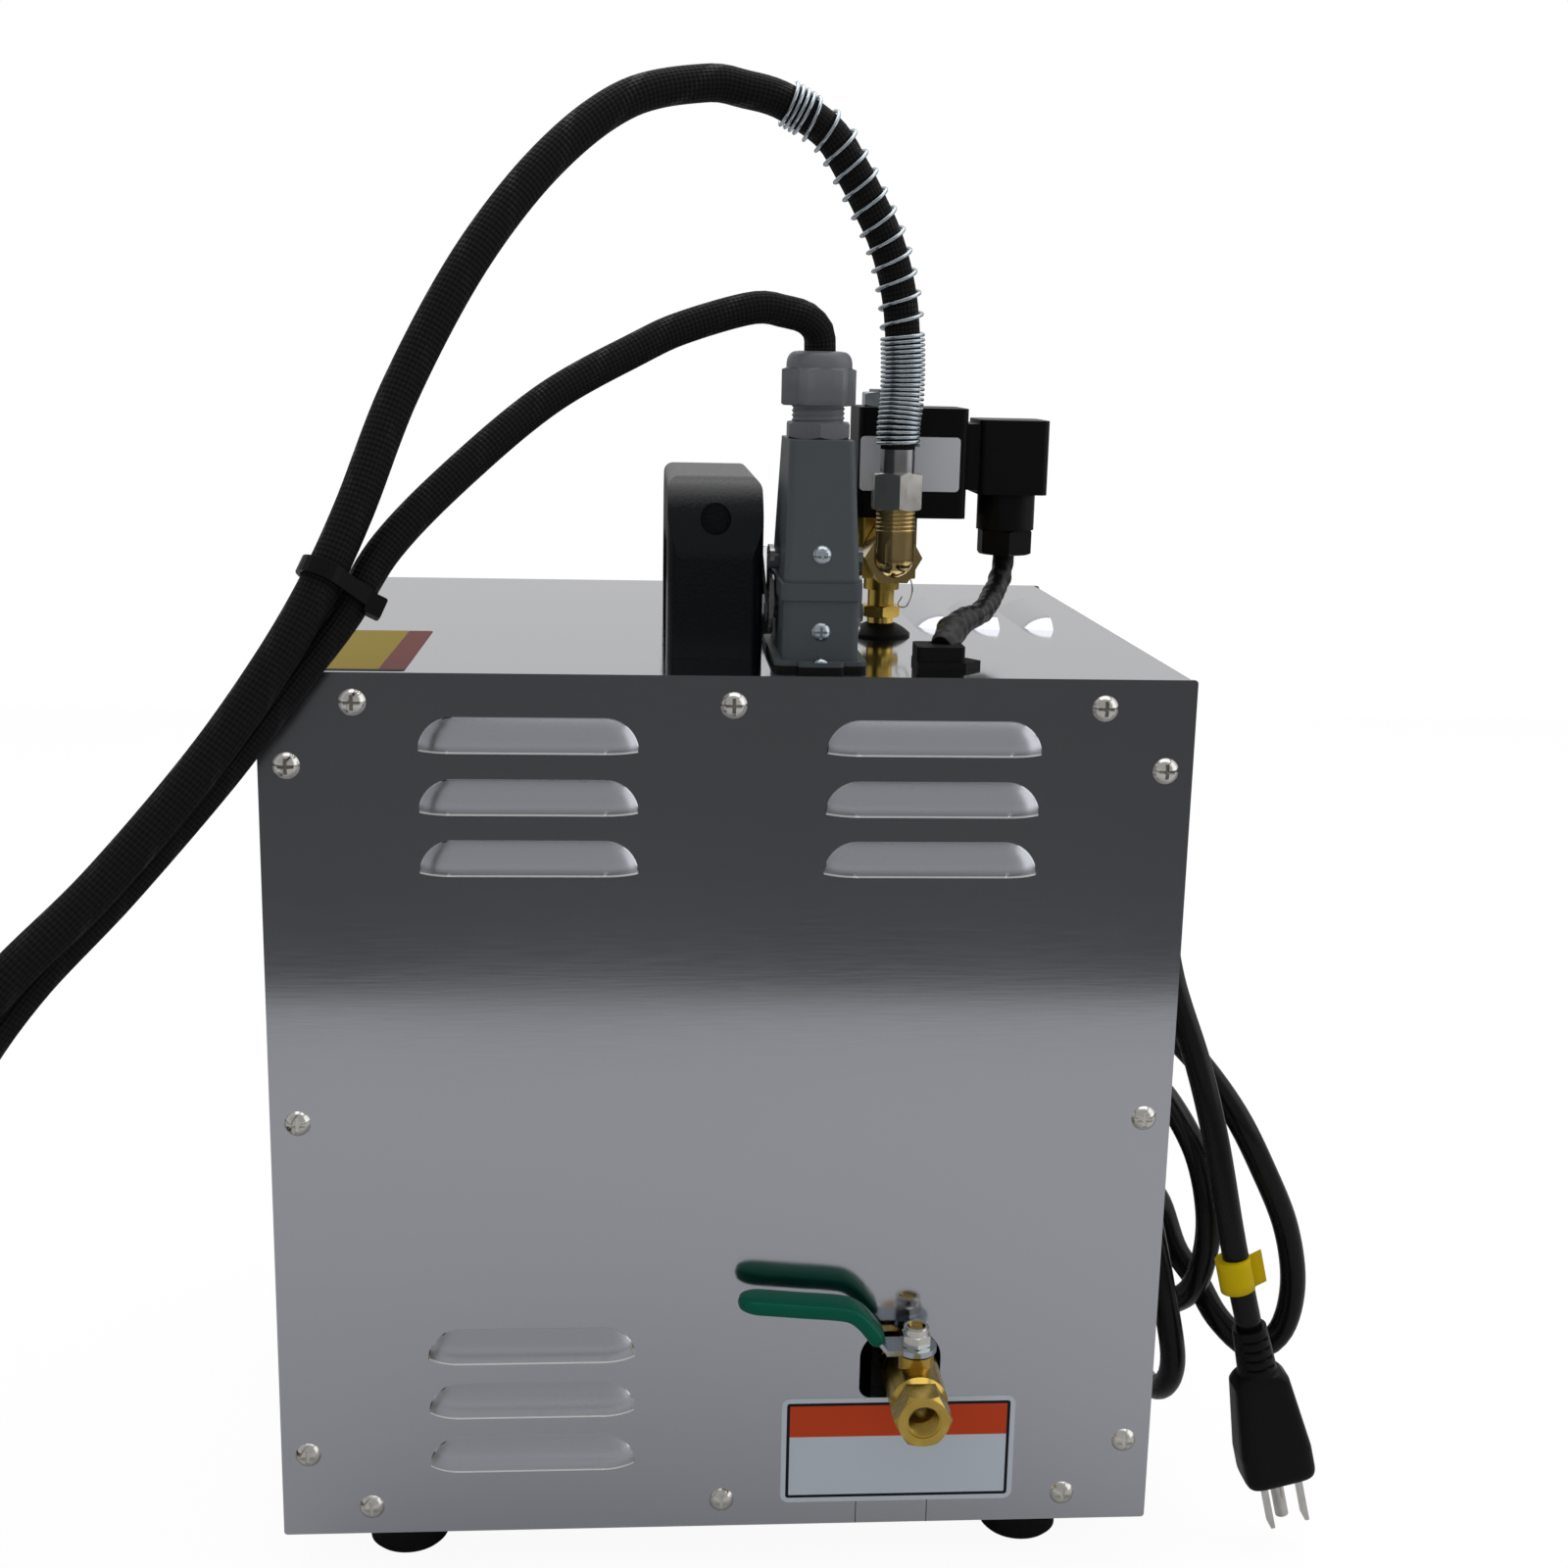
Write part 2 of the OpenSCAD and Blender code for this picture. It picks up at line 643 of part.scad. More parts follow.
module connector_base() {
    half_pin = latch_out + free_gap + pin_head_t;
    color("#4a4c50") placed() translate([con_x, con_mid_y, top_z + gasket_t])
        difference() {
            union() {
                round_block(con_flange_w, con_len + 4, con_flange_t, con_r);
                translate([0, lug_y - con_mid_y, 0])
                    round_block(con_flange_w / 2, lug_depth, con_flange_t, lug_r);
                round_block(con_w, con_len, base_h - gasket_t, con_r);
                translate([0, 0, base_h - gasket_t])
                    round_block(collar_w, con_len + 1.8, collar_h, con_r);
                translate([0, 0, latch_pin_z - gasket_t])
                    latch_pins(pin_d, half_pin, 1.5 * pin_d);
            }
            translate([0, lug_y - con_mid_y, -over])
                cylinder(d = lug_screw_d + 2 * fit_gap, h = con_flange_t + 2 * over);
            translate([0, -con_len / 2, base_screw_z - gasket_t]) rotate([-90, 0, 0])
                translate([0, 0, -over])
                    cylinder(d = face_screw_d / 2 + 2 * fit_gap, h = 2 * over + fit_gap);
        }
}
module connector_hood() {
    peg_half = latch_out + over;
    color("#3c3e42") placed() translate([con_x, con_mid_y, top_z + hood_z])
        difference() {
            union() {
                hull() {
                    round_block(hood_wall_w, con_len, sheet_t, con_r, $fn = 32);
                    translate([0, 0, hood_h - sheet_t])
                        round_block(hood_top_w, hood_top_len, sheet_t, con_r, $fn = 32);
                }
                translate([0, 0, peg_z - hood_z]) rotate([0, 90, 0])
                    cylinder(d = peg_d, h = 2 * peg_half, center = true);
            }
            translate([0, -con_len / 2 - hood_screw_in, hood_screw_z - hood_z])
                rotate([90 - hood_taper, 0, 0]) translate([0, 0, -over - fit_gap])
                    cylinder(d = face_screw_d / 2 + 2 * fit_gap, h = 2 * over);
        }
}
latch_reach = 36;
latch_bar_z = 30;
latch_bar_d = 6;
hook_r = peg_z - latch_pin_z;
hook_wall = 3;
module latch_plate() {
    inner = hook_r - peg_d / 2 - 2 * fit_gap;
    outer = hook_r + peg_d / 2 + 2 * fit_gap;
    jaw = outer + hook_wall;
    linear_extrude(latch_t) difference() {
        union() {
            circle(1.8 * pin_d);
            intersection() {
                circle(jaw);
                translate([-hook_wall - peg_d, 0]) square([jaw * 0.8, jaw]);
            }
            rotate(atan2(latch_bar_z - latch_pin_z, latch_reach))
                translate([0, -latch_bar_d * 0.6])
                    square([norm([latch_reach, latch_bar_z - latch_pin_z]),
                        latch_bar_d * 1.2]);
            translate([latch_reach, latch_bar_z - latch_pin_z]) circle(latch_bar_d * 0.6);
        }
        circle(d = pin_d + 2 * fit_gap);
        intersection() {
            difference() {
                circle(outer);
                circle(inner);
            }
            translate([-jaw, 0]) square([jaw, jaw]);
        }
        translate([0, hook_r]) circle(d = peg_d + 4 * fit_gap);
    }
}
module latch_lever() {
    color("#b9bcc0") placed() translate([con_x, con_mid_y, top_z + latch_pin_z]) {
        for (x = [-latch_out, latch_in]) translate([x, 0, 0]) rotate([90, 0, 90])
            latch_plate();
        translate([-latch_in, latch_reach, latch_bar_z - latch_pin_z])
            rotate([0, 90, 0]) cylinder(d = latch_bar_d, h = 2 * latch_in);
    }
}

// The gland: a fixed hexagon with a thread, and a domed nut round the cable.
gland_y = con_mid_y;
gland_z = hood_z + hood_h;
gland_hex_h = 5.5;
gland_thread_d = 16.8;
gland_thread_up = 15;
gland_low = 10.7;
gland_nut_h = 12.1;
gland_dome_h = 7;
cable_hole_d = cable_d + 2 * fit_gap;
module gland_body() {
    color("#6c6e72") placed() translate([con_x, gland_y, top_z + gland_z]) difference() {
        union() {
            hex_nut(gland_af, gland_hex_h);
            cylinder(d = gland_thread_d, h = gland_hex_h + gland_thread_up);
        }
        translate([0, 0, -over])
            cylinder(d = cable_hole_d, h = gland_hex_h + gland_thread_up + 2 * over);
    }
}
module gland_nut() {
    thread_up = gland_hex_h + gland_thread_up - gland_low;
    color("#75777b") placed() translate([con_x, gland_y, top_z + gland_z + gland_low])
        difference() {
            union() {
                hex_nut(gland_nut_af, gland_nut_h);
                translate([0, 0, gland_nut_h - over]) rotate_extrude() intersection() {
                    translate([0, gland_dome_h + over - gland_nut_af / 2])
                        circle(gland_nut_af / 2);
                    square([gland_nut_af / 2, gland_dome_h + over]);
                }
            }
            translate([0, 0, -over])
                cylinder(d = gland_thread_d + 2 * fit_gap, h = thread_up + fit_gap + over);
            cylinder(d = cable_hole_d, h = gland_nut_h + gland_dome_h + over);
        }
}

// The steam outlet, from the pipe up to the hose.
grommet_d = 22;
grommet_h = 5.5;
grommet_neck_d = 14;
body_w = 22;
body_len = 26;
neck_z = 17;
neck_w = 13;
body_z = 22;
coil_z = 44;
port_z = 31.5;
tube_d = 13;
tube_bore = plunger_d + 2 * run_gap + fit_gap;
seat_z = neck_z + 18.5;
plunger_z = seat_z + free_gap;
plunger_len = 26;
spring_len = 9;
spring_z = plunger_z + plunger_len;
tube_top = coil_z + coil_h;
coil_nut_h = 6;
orifice_d = 3;
pipe_nut_z = 6.9;
pipe_nut_h = 4.3;
pipe_nut_af = 13;
pipe_low = tank_z + sqrt(pow(tank_d / 2, 2) - pow(tank_y - col_y, 2)) + 10;
module at_column(z) { translate([col_x, col_y, top_z + z]) children(); }
module column_grommet() {
    color("#1b1b1c") placed() at_column(0) difference() {
        union() {
            rotate_extrude() intersection() {
                translate([0, grommet_h - grommet_d * 0.7]) circle(grommet_d * 0.7);
                square([grommet_d / 2, grommet_h]);
            }
            translate([0, 0, -sheet_t]) cylinder(d = grommet_neck_d, h = sheet_t);
        }
        translate([0, 0, -sheet_t - over])
            cylinder(d = pipe_d + 2 * fit_gap, h = grommet_h + sheet_t + 2 * over);
    }
}
module steam_pipe() {
    color("#b5975a") placed() difference() {
        union() {
            translate([col_x, col_y, pipe_low])
                cylinder(d = pipe_d, h = top_z + neck_z - pipe_low);
            at_column(pipe_nut_z) hex_nut(pipe_nut_af, pipe_nut_h);
        }
        translate([col_x, col_y, pipe_low - over])
            cylinder(d = pipe_bore, h = top_z + neck_z - pipe_low + 2 * over);
    }
}
module valve_body() {
    color("#b8924a") placed() difference() {
        union() {
            at_column(body_z) round_block(body_w, body_len, coil_z - body_z, 3);
            at_column(neck_z) cylinder(d = neck_w, h = body_z - neck_z + over);
            at_column(port_z) rotate([90, 0, 0])
                cylinder(d = elbow_d, h = body_len / 2 + 2);
        }
        at_column(seat_z - sheet_t)
            cylinder(d = tube_bore, h = coil_z - seat_z + sheet_t + over);
        at_column(neck_z - over) cylinder(d = orifice_d, h = seat_z - neck_z);
        at_column(port_z) rotate([90, 0, 0]) cylinder(d = pipe_bore, h = body_len);
    }
    color("#b8924a") placed() at_column(seat_z - sheet_t) difference() {
        cylinder(d = 2 * orifice_d, h = sheet_t);
        translate([0, 0, -over]) cylinder(d = orifice_d, h = sheet_t + 2 * over);
    }
}
module plunger_tube() {
    color("silver") placed() at_column(coil_z) difference() {
        cylinder(d = tube_d, h = coil_h + coil_nut_h);
        translate([0, 0, -over])
            cylinder(d = tube_bore, h = spring_z + spring_len - coil_z + over);
    }
}
module plunger() {
    color("gray") placed() at_column(plunger_z) cylinder(d = plunger_d, h = plunger_len);
}
module plunger_spring() {
    wire = 0.8;
    turns = 5;
    r = plunger_d / 2 - 2 * wire;
    rise = spring_len - wire - fit_gap;
    path = [for (i = [0 : 8 * turns]) let (a = 45 * i)
        [r * cos(a), r * sin(a), (wire + fit_gap) / 2 + rise * i / (8 * turns)]];
    color("silver") placed() at_column(spring_z) even_tube(path, wire, 6);
}
coil_off_x = 8;
module solenoid_coil() {
    color("#17181a") placed() at_column(coil_z) difference() {
        translate([coil_off_x, 0, 0]) round_block(coil_w, coil_len, coil_h, 3);
        translate([0, 0, -over])
            cylinder(d = tube_d + 2 * fit_gap, h = coil_h + 2 * over);
    }
}
module coil_nut() {
    color("silver") placed() at_column(tube_top) difference() {
        hex_nut(tube_d + 4, coil_nut_h - 2 * over);
        translate([0, 0, -over])
            cylinder(d = tube_d + 2 * fit_gap, h = coil_nut_h + 2 * over);
    }
}
plug_x = col_x + coil_off_x + coil_w / 2;
din_w = 25;
din_len = 28;
din_low = 52.6;
din_h = 26.2;
din_foot = 4.5;
din_mid_x = plug_x + din_foot + din_w / 2;
din_y = col_y - 1;
neck_d = 20.8;
neck_low = 39.5;
din_nut_low = 30.5;
plug_nut_af = 18;
module din_plug() {
    color("#1d1e20") placed() {
        translate([din_mid_x, din_y, top_z + din_low]) round_block(din_w, din_len,
            din_h, 3);
        translate([plug_x, din_y - din_len * 0.43, top_z + din_low + 1.5])
            cube([din_foot + over, din_len * 0.86, din_h - 3]);
        difference() {
            translate([din_mid_x, din_y, top_z + neck_low])
                cylinder(d = neck_d, h = din_low - neck_low);
            translate([din_mid_x, din_y, top_z + neck_low - over])
                cylinder(d = lead_d + 4 * fit_gap, h = din_low - neck_low + over);
        }
    }
}
module plug_nut() {
    color("#232426") placed() translate([din_mid_x, din_y, top_z + din_nut_low])
        difference() {
            hex_nut(plug_nut_af, neck_low - din_nut_low);
            translate([0, 0, -over])
                cylinder(d = lead_d + 4 * fit_gap, h = neck_low - din_nut_low + 2 * over);
        }
}
// The coil's lead hangs from the plug to its grommet, with a boot at the lower end.
lead_end = [70, 28, 5.7];
lead_bend = [77.2, 44, 10.8];
lead_route = [[din_mid_x, din_y, din_low], [din_mid_x, din_y, neck_low],
    [din_mid_x, din_y, din_nut_low], [101.6, 96, 25], [99.3, 90, 20], [94.6, 78, 15.6],
    [87.9, 62, 12.6], [81.6, 51, 12.2], lead_bend, [76, 41.4, 10], [73.7, 36.3, 8.3],
    lead_end];
lead_r_shares = [1, 1, 1, 1, 1, 1, 1, 1.3, 1.35, 1.35, 1, 1];
module coil_lead() {
    color("#141415") placed() translate([0, 0, top_z])
        tube(lead_route, [for (s = lead_r_shares) s * lead_d / 2], 12);
}
grommet_w = 16;
grommet_len = 15;
grommet_box_h = 7;
module lead_grommet() {
    way = unit(lead_bend - lead_end);
    tilt = acos(way[2]);
    turn = atan2(way[1], way[0]);
    color("#19191a") placed() translate([0, 0, top_z]) difference() {
        union() {
            translate([lead_end[0] - 1, lead_end[1] - 1.5, 0])
                round_block(grommet_w, grommet_len, grommet_box_h, 2);
            linear_extrude(2) polygon([[lead_end[0] - 9, lead_end[1] - 10],
                [lead_end[0] + 7, lead_end[1] - 10], [lead_end[0] + 13, lead_end[1] - 3],
                [lead_end[0] + 7, lead_end[1] + 6], [lead_end[0] - 9, lead_end[1] + 6]]);
        }
        translate(lead_end - fit_gap * way) rotate([0, tilt, turn])
            cylinder(d = lead_d + 4 * fit_gap, h = 2 * grommet_len);
    }
}
elbow_thread_d = 13.4;
elbow_top = 41;
elbow_hex_af = 17.5;
elbow_hex_in = 1.5;
thread_top = 48.5;
thread_in = 5;
hose_nut_h = 12.5;
ferrule_h = 8;
hose_z = thread_top + hose_nut_h + ferrule_h;
module at_hose(z) { translate([col_x, hose_y, top_z + z]) children(); }
module outlet_elbow() {
    leg = col_y - body_len / 2 - 2 - hose_y;
    color("#c39b4e") placed() difference() {
        union() {
            at_hose(port_z) sphere(d = elbow_d);
            at_hose(port_z) translate([0, elbow_hex_in, 0]) rotate([-90, 0, 0])
                hex_bar(elbow_hex_af, leg - elbow_hex_in);
            at_hose(port_z) cylinder(d = elbow_d, h = elbow_top - port_z);
            at_hose(elbow_top)
                cylinder(d = elbow_thread_d, h = thread_top + thread_in - elbow_top);
        }
        at_hose(port_z) cylinder(d = pipe_bore, h = hose_z);
        at_hose(port_z) rotate([-90, 0, 0]) cylinder(d = pipe_bore, h = leg + over);
    }
}
module hose_nut() {
    color("#c8a050") placed() at_hose(thread_top) difference() {
        hex_nut(hose_nut_af, hose_nut_h);
        translate([0, 0, -over])
            cylinder(d = elbow_thread_d + 2 * fit_gap, h = thread_in + fit_gap + over);
        cylinder(d = pipe_d, h = hose_nut_h + over);
    }
}
module hose_ferrule() {
    spigot = hose_nut_h - thread_in - 2 * fit_gap;
    color("#c4a35c") placed() at_hose(thread_top + hose_nut_h) difference() {
        union() {
            cylinder(d = hose_d, h = ferrule_h);
            translate([0, 0, -spigot])
                cylinder(d = pipe_d - 2 * fit_gap, h = spigot + over);
        }
        translate([0, 0, -spigot - over]) cylinder(d = pipe_bore, h = spigot + ferrule_h);
    }
}

// The hose's route is given from the rear panel's face and the floor. Its first stretch
// carries the spring guard.
hose_points = [[58, 64, 396], [59, 65, 408], [58.6, 65, 425], [56.7, 65, 441],
    [52, 64, 457], [46, 63, 469], [39, 62, 481], [31, 61, 492], [16, 59, 501],
    [3, 56, 504], [-10, 52, 505], [-35, 40, 498], [-59, 26, 478], [-82, 10, 447],
    [-102, -6, 408], [-115, -22, 372], [-125, -33, 349], [-138, -44, 326],
    [-156, -56, 300], [-181, -72, 270], [-205, -88, 248], [-220, -96, 220],
    [-233, -102, 188], [-243, -104, 155], [-251, -103, 122], [-260, -100, 90],
    [-272, -97, 60], [-288, -94, 36], [-309, -90.5, 19.5], [-334, -86.2, 9.3]];
hose_start = [col_x, hose_y, top_z + hose_z];
store = [-345, -5];
store_turns = 1.1;
store_start = -100;
turn_gap = 0.6;
hose_step = hose_d + turn_gap;
pitch_share = 1.26;
hose_pitch = hose_d * pitch_share;
hose_out_r = 78;
hose_low = hose_d / 2 + 0.2;
hose_pile = pile(store, hose_out_r, hose_pitch, hose_step, store_turns, hose_low,
    store_start);
hose_coil_path = stretched(hose_pile, hose_d);
// The last two points that lead a cord straight into its coil.
function led_in(coil, d) = let (way = unit(coil[1] - coil[0]))
    [coil[0] - d / 2 * way, coil[0] - fit_gap * way];
hose_route = concat([hose_start + [0, 0, fit_gap]], hose_points,
    led_in(hose_coil_path, hose_d));
module steam_hose() {
    color("#101011") placed() even_tube(hose_route, hose_d, 10);
}
module steam_hose_coil() {
    color("#101011") placed() even_tube(hose_coil_path, hose_d, 6);
}
// A part that carries on from a coil's free end, drawn with Z along the tube.
module at_end(path) {
    n = len(path) - 1;
    way = unit(path[n] - path[n - 1]);
    translate(path[n]) rotate([0, acos(way[2]), atan2(way[1], way[0])]) children();
}
fitting_nut_af = 13.5;
fitting_len = 40;
module hose_end_fitting() {
    color("#c8a050") placed() at_end(hose_coil_path) difference() {
        union() {
            cylinder(d = hose_d + 1, h = fitting_len * 0.35);
            translate([0, 0, fitting_len * 0.3]) cylinder(d = hose_d - 2,
                h = fitting_len * 0.2);
            translate([0, 0, fitting_len * 0.45])
                hex_nut(fitting_nut_af, fitting_len * 0.35);
            translate([0, 0, fitting_len * 0.7]) cylinder(d = fitting_nut_af - 2,
                h = fitting_len * 0.3);
        }
        translate([0, 0, fitting_len * 0.3]) cylinder(d = pipe_bore, h = fitting_len);
    }
}
// A spring guard that follows the hose: stations along the route, looked up.
guard_gap = 0.5;
guard_r = hose_d / 2 + guard_gap + guard_wire / 2;
guard_turns = closed_coils + open_coils + end_coils;
end_pitch = closed_pitch + 0.35;
guard_stations = [[0, 0], [closed_coils, closed_coils * closed_pitch],
    [closed_coils + open_coils, closed_coils * closed_pitch + open_coils * open_pitch],
    [guard_turns, closed_coils * closed_pitch + open_coils * open_pitch
        + end_coils * end_pitch]];
hose_runs = run_list(hose_route);
hose_sides = side_list(hose_route);
hose_ways = [for (i = [0 : len(hose_route) - 1]) tangent(hose_route, i)];
function along(values, s) = [for (k = [0 : 2])
    lookup(s, [for (i = [0 : len(values) - 1]) [hose_runs[i], values[i][k]]])];
function guard_point(turn) =
    let (s = guard_wire + lookup(turn, guard_stations),
        way = unit(along(hose_ways, s)), side = level(along(hose_sides, s), way))
    along(hose_route, s) + guard_r * (cos(360 * turn) * side
        + sin(360 * turn) * cross(way, side));
guard_path = [for (i = [0 : 8 * guard_turns]) guard_point(i / 8)];
module spring_guard() {
    color("silver") placed() even_tube(guard_path, guard_wire, 6);
}

// The iron's cable runs beside the hose and is put away on top of the hose's coil.
cable_points = [[28.5, 44, 424], [27.6, 43.4, 428], [23.5, 41.2, 431.8],
    [17, 39.5, 433.5], [6, 37, 434.5], [-16, 30, 428], [-31, 24, 421], [-59, 10, 405],
    [-86, -6, 382], [-106, -17.5, 361], [-118.5, -26, 340.5], [-134.5, -34, 319.5],
    [-153, -45, 295], [-178.5, -60, 265], [-202.5, -78, 241.5], [-213, -84, 217],
    [-224, -89, 188], [-234, -90, 155], [-243, -89, 122], [-256, -86, 90],
    [-270, -82, 65], [-286, -79.5, 46], [-307, -76.7, 35], [-331.5, -72.4, 31]];
cable_step = cable_d + turn_gap;
cable_pitch = cable_d * pitch_share;
cable_out_r = 64;
cable_low = hose_low + hose_step + hose_d / 2 + free_gap + cable_d / 2;
cable_pile = pile(store, cable_out_r, cable_pitch, cable_step, store_turns, cable_low,
    store_start);
cable_coil_path = stretched(cable_pile, cable_d);
cable_start = [con_x, gland_y, top_z + gland_z];
cable_route = concat([cable_start], cable_points, led_in(cable_coil_path, cable_d));
module iron_cable() {
    color("#101011") placed() even_tube(cable_route, cable_d, 10);
}
module iron_cable_coil() {
    color("#101011") placed() even_tube(cable_coil_path, cable_d, 6);
}
inline_d = 18;
inline_len = 46;
module iron_cable_plug() {
    lift = (inline_d - cable_step) / 2;
    color("#18181a") placed() at_end(cable_coil_path) translate([-lift, 0, 0])
        difference() {
            union() {
                translate([lift, 0, 0]) cylinder(d = cable_d + 1, h = inline_len * 0.3);
                translate([0, 0, inline_len * 0.2])
                    cylinder(d = inline_d, h = inline_len * 0.5);
                translate([0, 0, inline_len * 0.7])
                    cylinder(d = inline_d - 3, h = inline_len * 0.3);
            }
            translate([0, 0, inline_len * 0.75])
                cylinder(d = inline_d - 7, h = inline_len);
        }
}
// A strap that ties the hose and the cable together beside the top edge.
strap_w = 5;
strap_t = 1.4;
strap_hose = [-122, -30, 356];
strap_cable = [-117, -24.8, 343];
module hose_strap() {
    span = strap_cable - strap_hose;
    way = unit(hose_points[16] - hose_points[15]);
    across = unit(span - (span * way) * way);
    gap = norm(span - (span * way) * way);
    color("#0c0c0d") placed() multmatrix([
        [across[0], cross(way, across)[0], way[0], strap_hose[0]],
        [across[1], cross(way, across)[1], way[1], strap_hose[1]],
        [across[2], cross(way, across)[2], way[2], strap_hose[2]]])
        linear_extrude(strap_w) difference() {
            hull() {
                circle(hose_d / 2 + free_gap + strap_t, $fn = 24);
                translate([gap, 0]) circle(cable_d / 2 + 3 * free_gap + strap_t, $fn = 24);
            }
            hull() {
                circle(hose_d / 2 + free_gap, $fn = 24);
                translate([gap, 0]) circle(cable_d / 2 + 3 * free_gap, $fn = 24);
            }
        }
}

// The drain: pipe from the tank, ball valve outside, and its lever.
ball_y = 11;
cavity_d = ball_d + 1;
seat_len = 4;
house_d = 19.5;
bonnet_d = 12.4;
bonnet_up = 12.7;
male_d = 13.2;
male_in = 18;
lever_plate_t = 2;
lever_z = bonnet_up + 1;
hub_d = 14;
nut_af = 9;
nut_hex_share = 0.62;
stem_below_nut = 0.8;
nut_h = 6.8;
front_hex = 10;
rear_hex_from = 1;
rear_hex_to = 8;
module at_valve(y) {
    translate([valve_x, y, valve_z]) rotate([90, 0, 0]) children();
}
module at_stem(z) { translate([valve_x, -ball_y, valve_z + z]) children(); }
module drain_valve_body() {
    color("#b98f3c") placed() difference() {
        union() {
            at_valve(front_hex - valve_out) intersection() {
                hex_bar(valve_af, front_hex);
                cylinder(d1 = 2 * valve_af, d2 = valve_af, h = front_hex);
            }
            at_valve(-ball_y * 2 - 1) cylinder(d1 = house_d, d2 = valve_af,
                h = valve_out - front_hex - 2 * ball_y - 1);
            at_valve(-rear_hex_from) cylinder(d = house_d, h = 2 * ball_y);
            at_valve(rear_hex_to) hex_bar(valve_af, rear_hex_to + rear_hex_from);
            at_valve(male_in) cylinder(d = male_d, h = male_in);
            at_stem(0) cylinder(d = bonnet_d, h = bonnet_up);
        }
        at_valve(-valve_out + outlet_len) cylinder(r = outlet_r, h = outlet_len + over);
        at_valve(male_in + over) cylinder(d = ball_bore, h = male_in + valve_out);
        at_valve(-ball_y + cavity_d / 2 + seat_len / 2)
            cylinder(d = cavity_d, h = cavity_d + seat_len);
        at_stem(0) cylinder(d = stem_d + 2 * fit_gap, h = bonnet_up + over);
    }
}
module ball_seats() {
    color("white") placed() difference() {
        for (s = sides) at_valve(-ball_y + s * (cavity_d / 2 - seat_len / 4))
            translate([0, 0, -seat_len * 0.7]) cylinder(d = cavity_d - 2 * fit_gap,
                h = seat_len * 1.4);
        at_stem(0) sphere(d = ball_d + 2 * fit_gap);
        at_valve(over) cylinder(d = ball_bore, h = valve_out);
    }
}
ball_slot_w = 2.6;
ball_slot_deep = 2;
stem_low = ball_d / 2 - ball_slot_deep;
module drain_ball() {
    color("silver") placed() at_stem(0) difference() {
        sphere(d = ball_d);
        rotate([0, 90, 0]) cylinder(d = ball_bore, h = 2 * ball_d, center = true);
        translate([-ball_d / 2, -ball_slot_w / 2 - fit_gap, stem_low])
            cube([ball_d, ball_slot_w + 2 * fit_gap, ball_d]);
    }
}
module drain_stem() {
    tang_low = stem_low + fit_gap;
    round_low = ball_d / 2 + 2 * fit_gap;
    stem_top = lever_z + lever_plate_t + nut_h - stem_below_nut;
    color("#b98f3c") placed() at_stem(0) {
        intersection() {
            translate([-stem_d / 2, -ball_slot_w / 2, tang_low])
                cube([stem_d, ball_slot_w, round_low - tang_low + over]);
            cylinder(d = stem_d - fit_gap, h = ball_d);
        }
        translate([0, 0, round_low]) cylinder(d = stem_d, h = lever_z - round_low);
        translate([0, 0, lever_z - over]) intersection() {
            cylinder(d = stem_d, h = stem_top - lever_z + over);
            translate([-stem_d * 0.36, -stem_d, 0])
                cube([stem_d * 0.72, 2 * stem_d, stem_top]);
        }
    }
}
// The lever's side outline: flat at the hub, a rising bend, then a gentle slope.
rise_from = 10;
rise_to = 20;
rise_up = 12.4;
tip_up = 17;
module lever_line(from_share, low, high) {
    start = rise_from + (rise_to - rise_from) * from_share;
    z0 = rise_up * from_share;
    polygon([[-start, z0 + low], [-rise_to, rise_up + low], [-lever_len, tip_up + low],
        [-lever_len, tip_up + high], [-rise_to, rise_up + high], [-start, z0 + high]]);
}
module drain_lever() {
    color("#b9bdc2") placed() at_stem(lever_z) difference() {
        union() {
            cylinder(d = hub_d, h = lever_plate_t);
            translate([-rise_from - over, -hub_d * 0.36, 0])
                cube([rise_from + over, hub_d * 0.72, lever_plate_t]);
            along_y(-hub_d * 0.36, hub_d * 0.72) difference() {
                lever_line(0, 0, lever_plate_t);
                translate([-2 * lever_len + 4, 0]) square([lever_len, lever_len]);
            }
        }
        translate([0, 0, -over]) intersection() {
            cylinder(d = stem_d + 2 * fit_gap, h = lever_plate_t + 2 * over);
            translate([-stem_d * 0.36 - fit_gap, -stem_d, 0])
                cube([stem_d * 0.72 + 2 * fit_gap, 2 * stem_d, lever_plate_t + 2 * over]);
        }
    }
}
module lever_grip() {
    wall = (grip_t - lever_plate_t) / 2;
    tip_r = grip_w / 2;
    color("#0b5a33") placed() at_stem(lever_z) difference() {
        intersection() {
            along_y(-grip_w / 2, grip_w) lever_line(0.35, -wall, lever_plate_t + wall);
            translate([0, 0, -grip_t]) linear_extrude(2 * tip_up) {
                translate([-lever_len + tip_r, -grip_w / 2]) square([lever_len, grip_w]);
                translate([-lever_len + tip_r, 0]) circle(tip_r);
            }
        }
        along_y(-hub_d * 0.36 - fit_gap, hub_d * 0.72 + 2 * fit_gap) difference() {
            lever_line(0, -fit_gap, lever_plate_t + fit_gap);
            translate([-2 * lever_len + 4 - fit_gap, 0]) square([lever_len, lever_len]);
        }
    }
}
module lever_nut() {
    color("silver") placed() at_stem(lever_z + lever_plate_t) difference() {
        union() {
            hex_nut(nut_af, nut_h * nut_hex_share);
            cylinder(d = nut_af - 4 * fit_gap, h = nut_h - 4 * fit_gap);
            cylinder(d = nut_af - 14 * fit_gap, h = nut_h);
        }
        translate([0, 0, -over]) cylinder(d = stem_d + 2 * fit_gap, h = nut_h + 2 * over);
    }
}
pipe_y1 = tank_y - sqrt(pow(tank_d / 2, 2) - pow(tank_up - valve_up, 2)) - 14;
socket_d = 18;
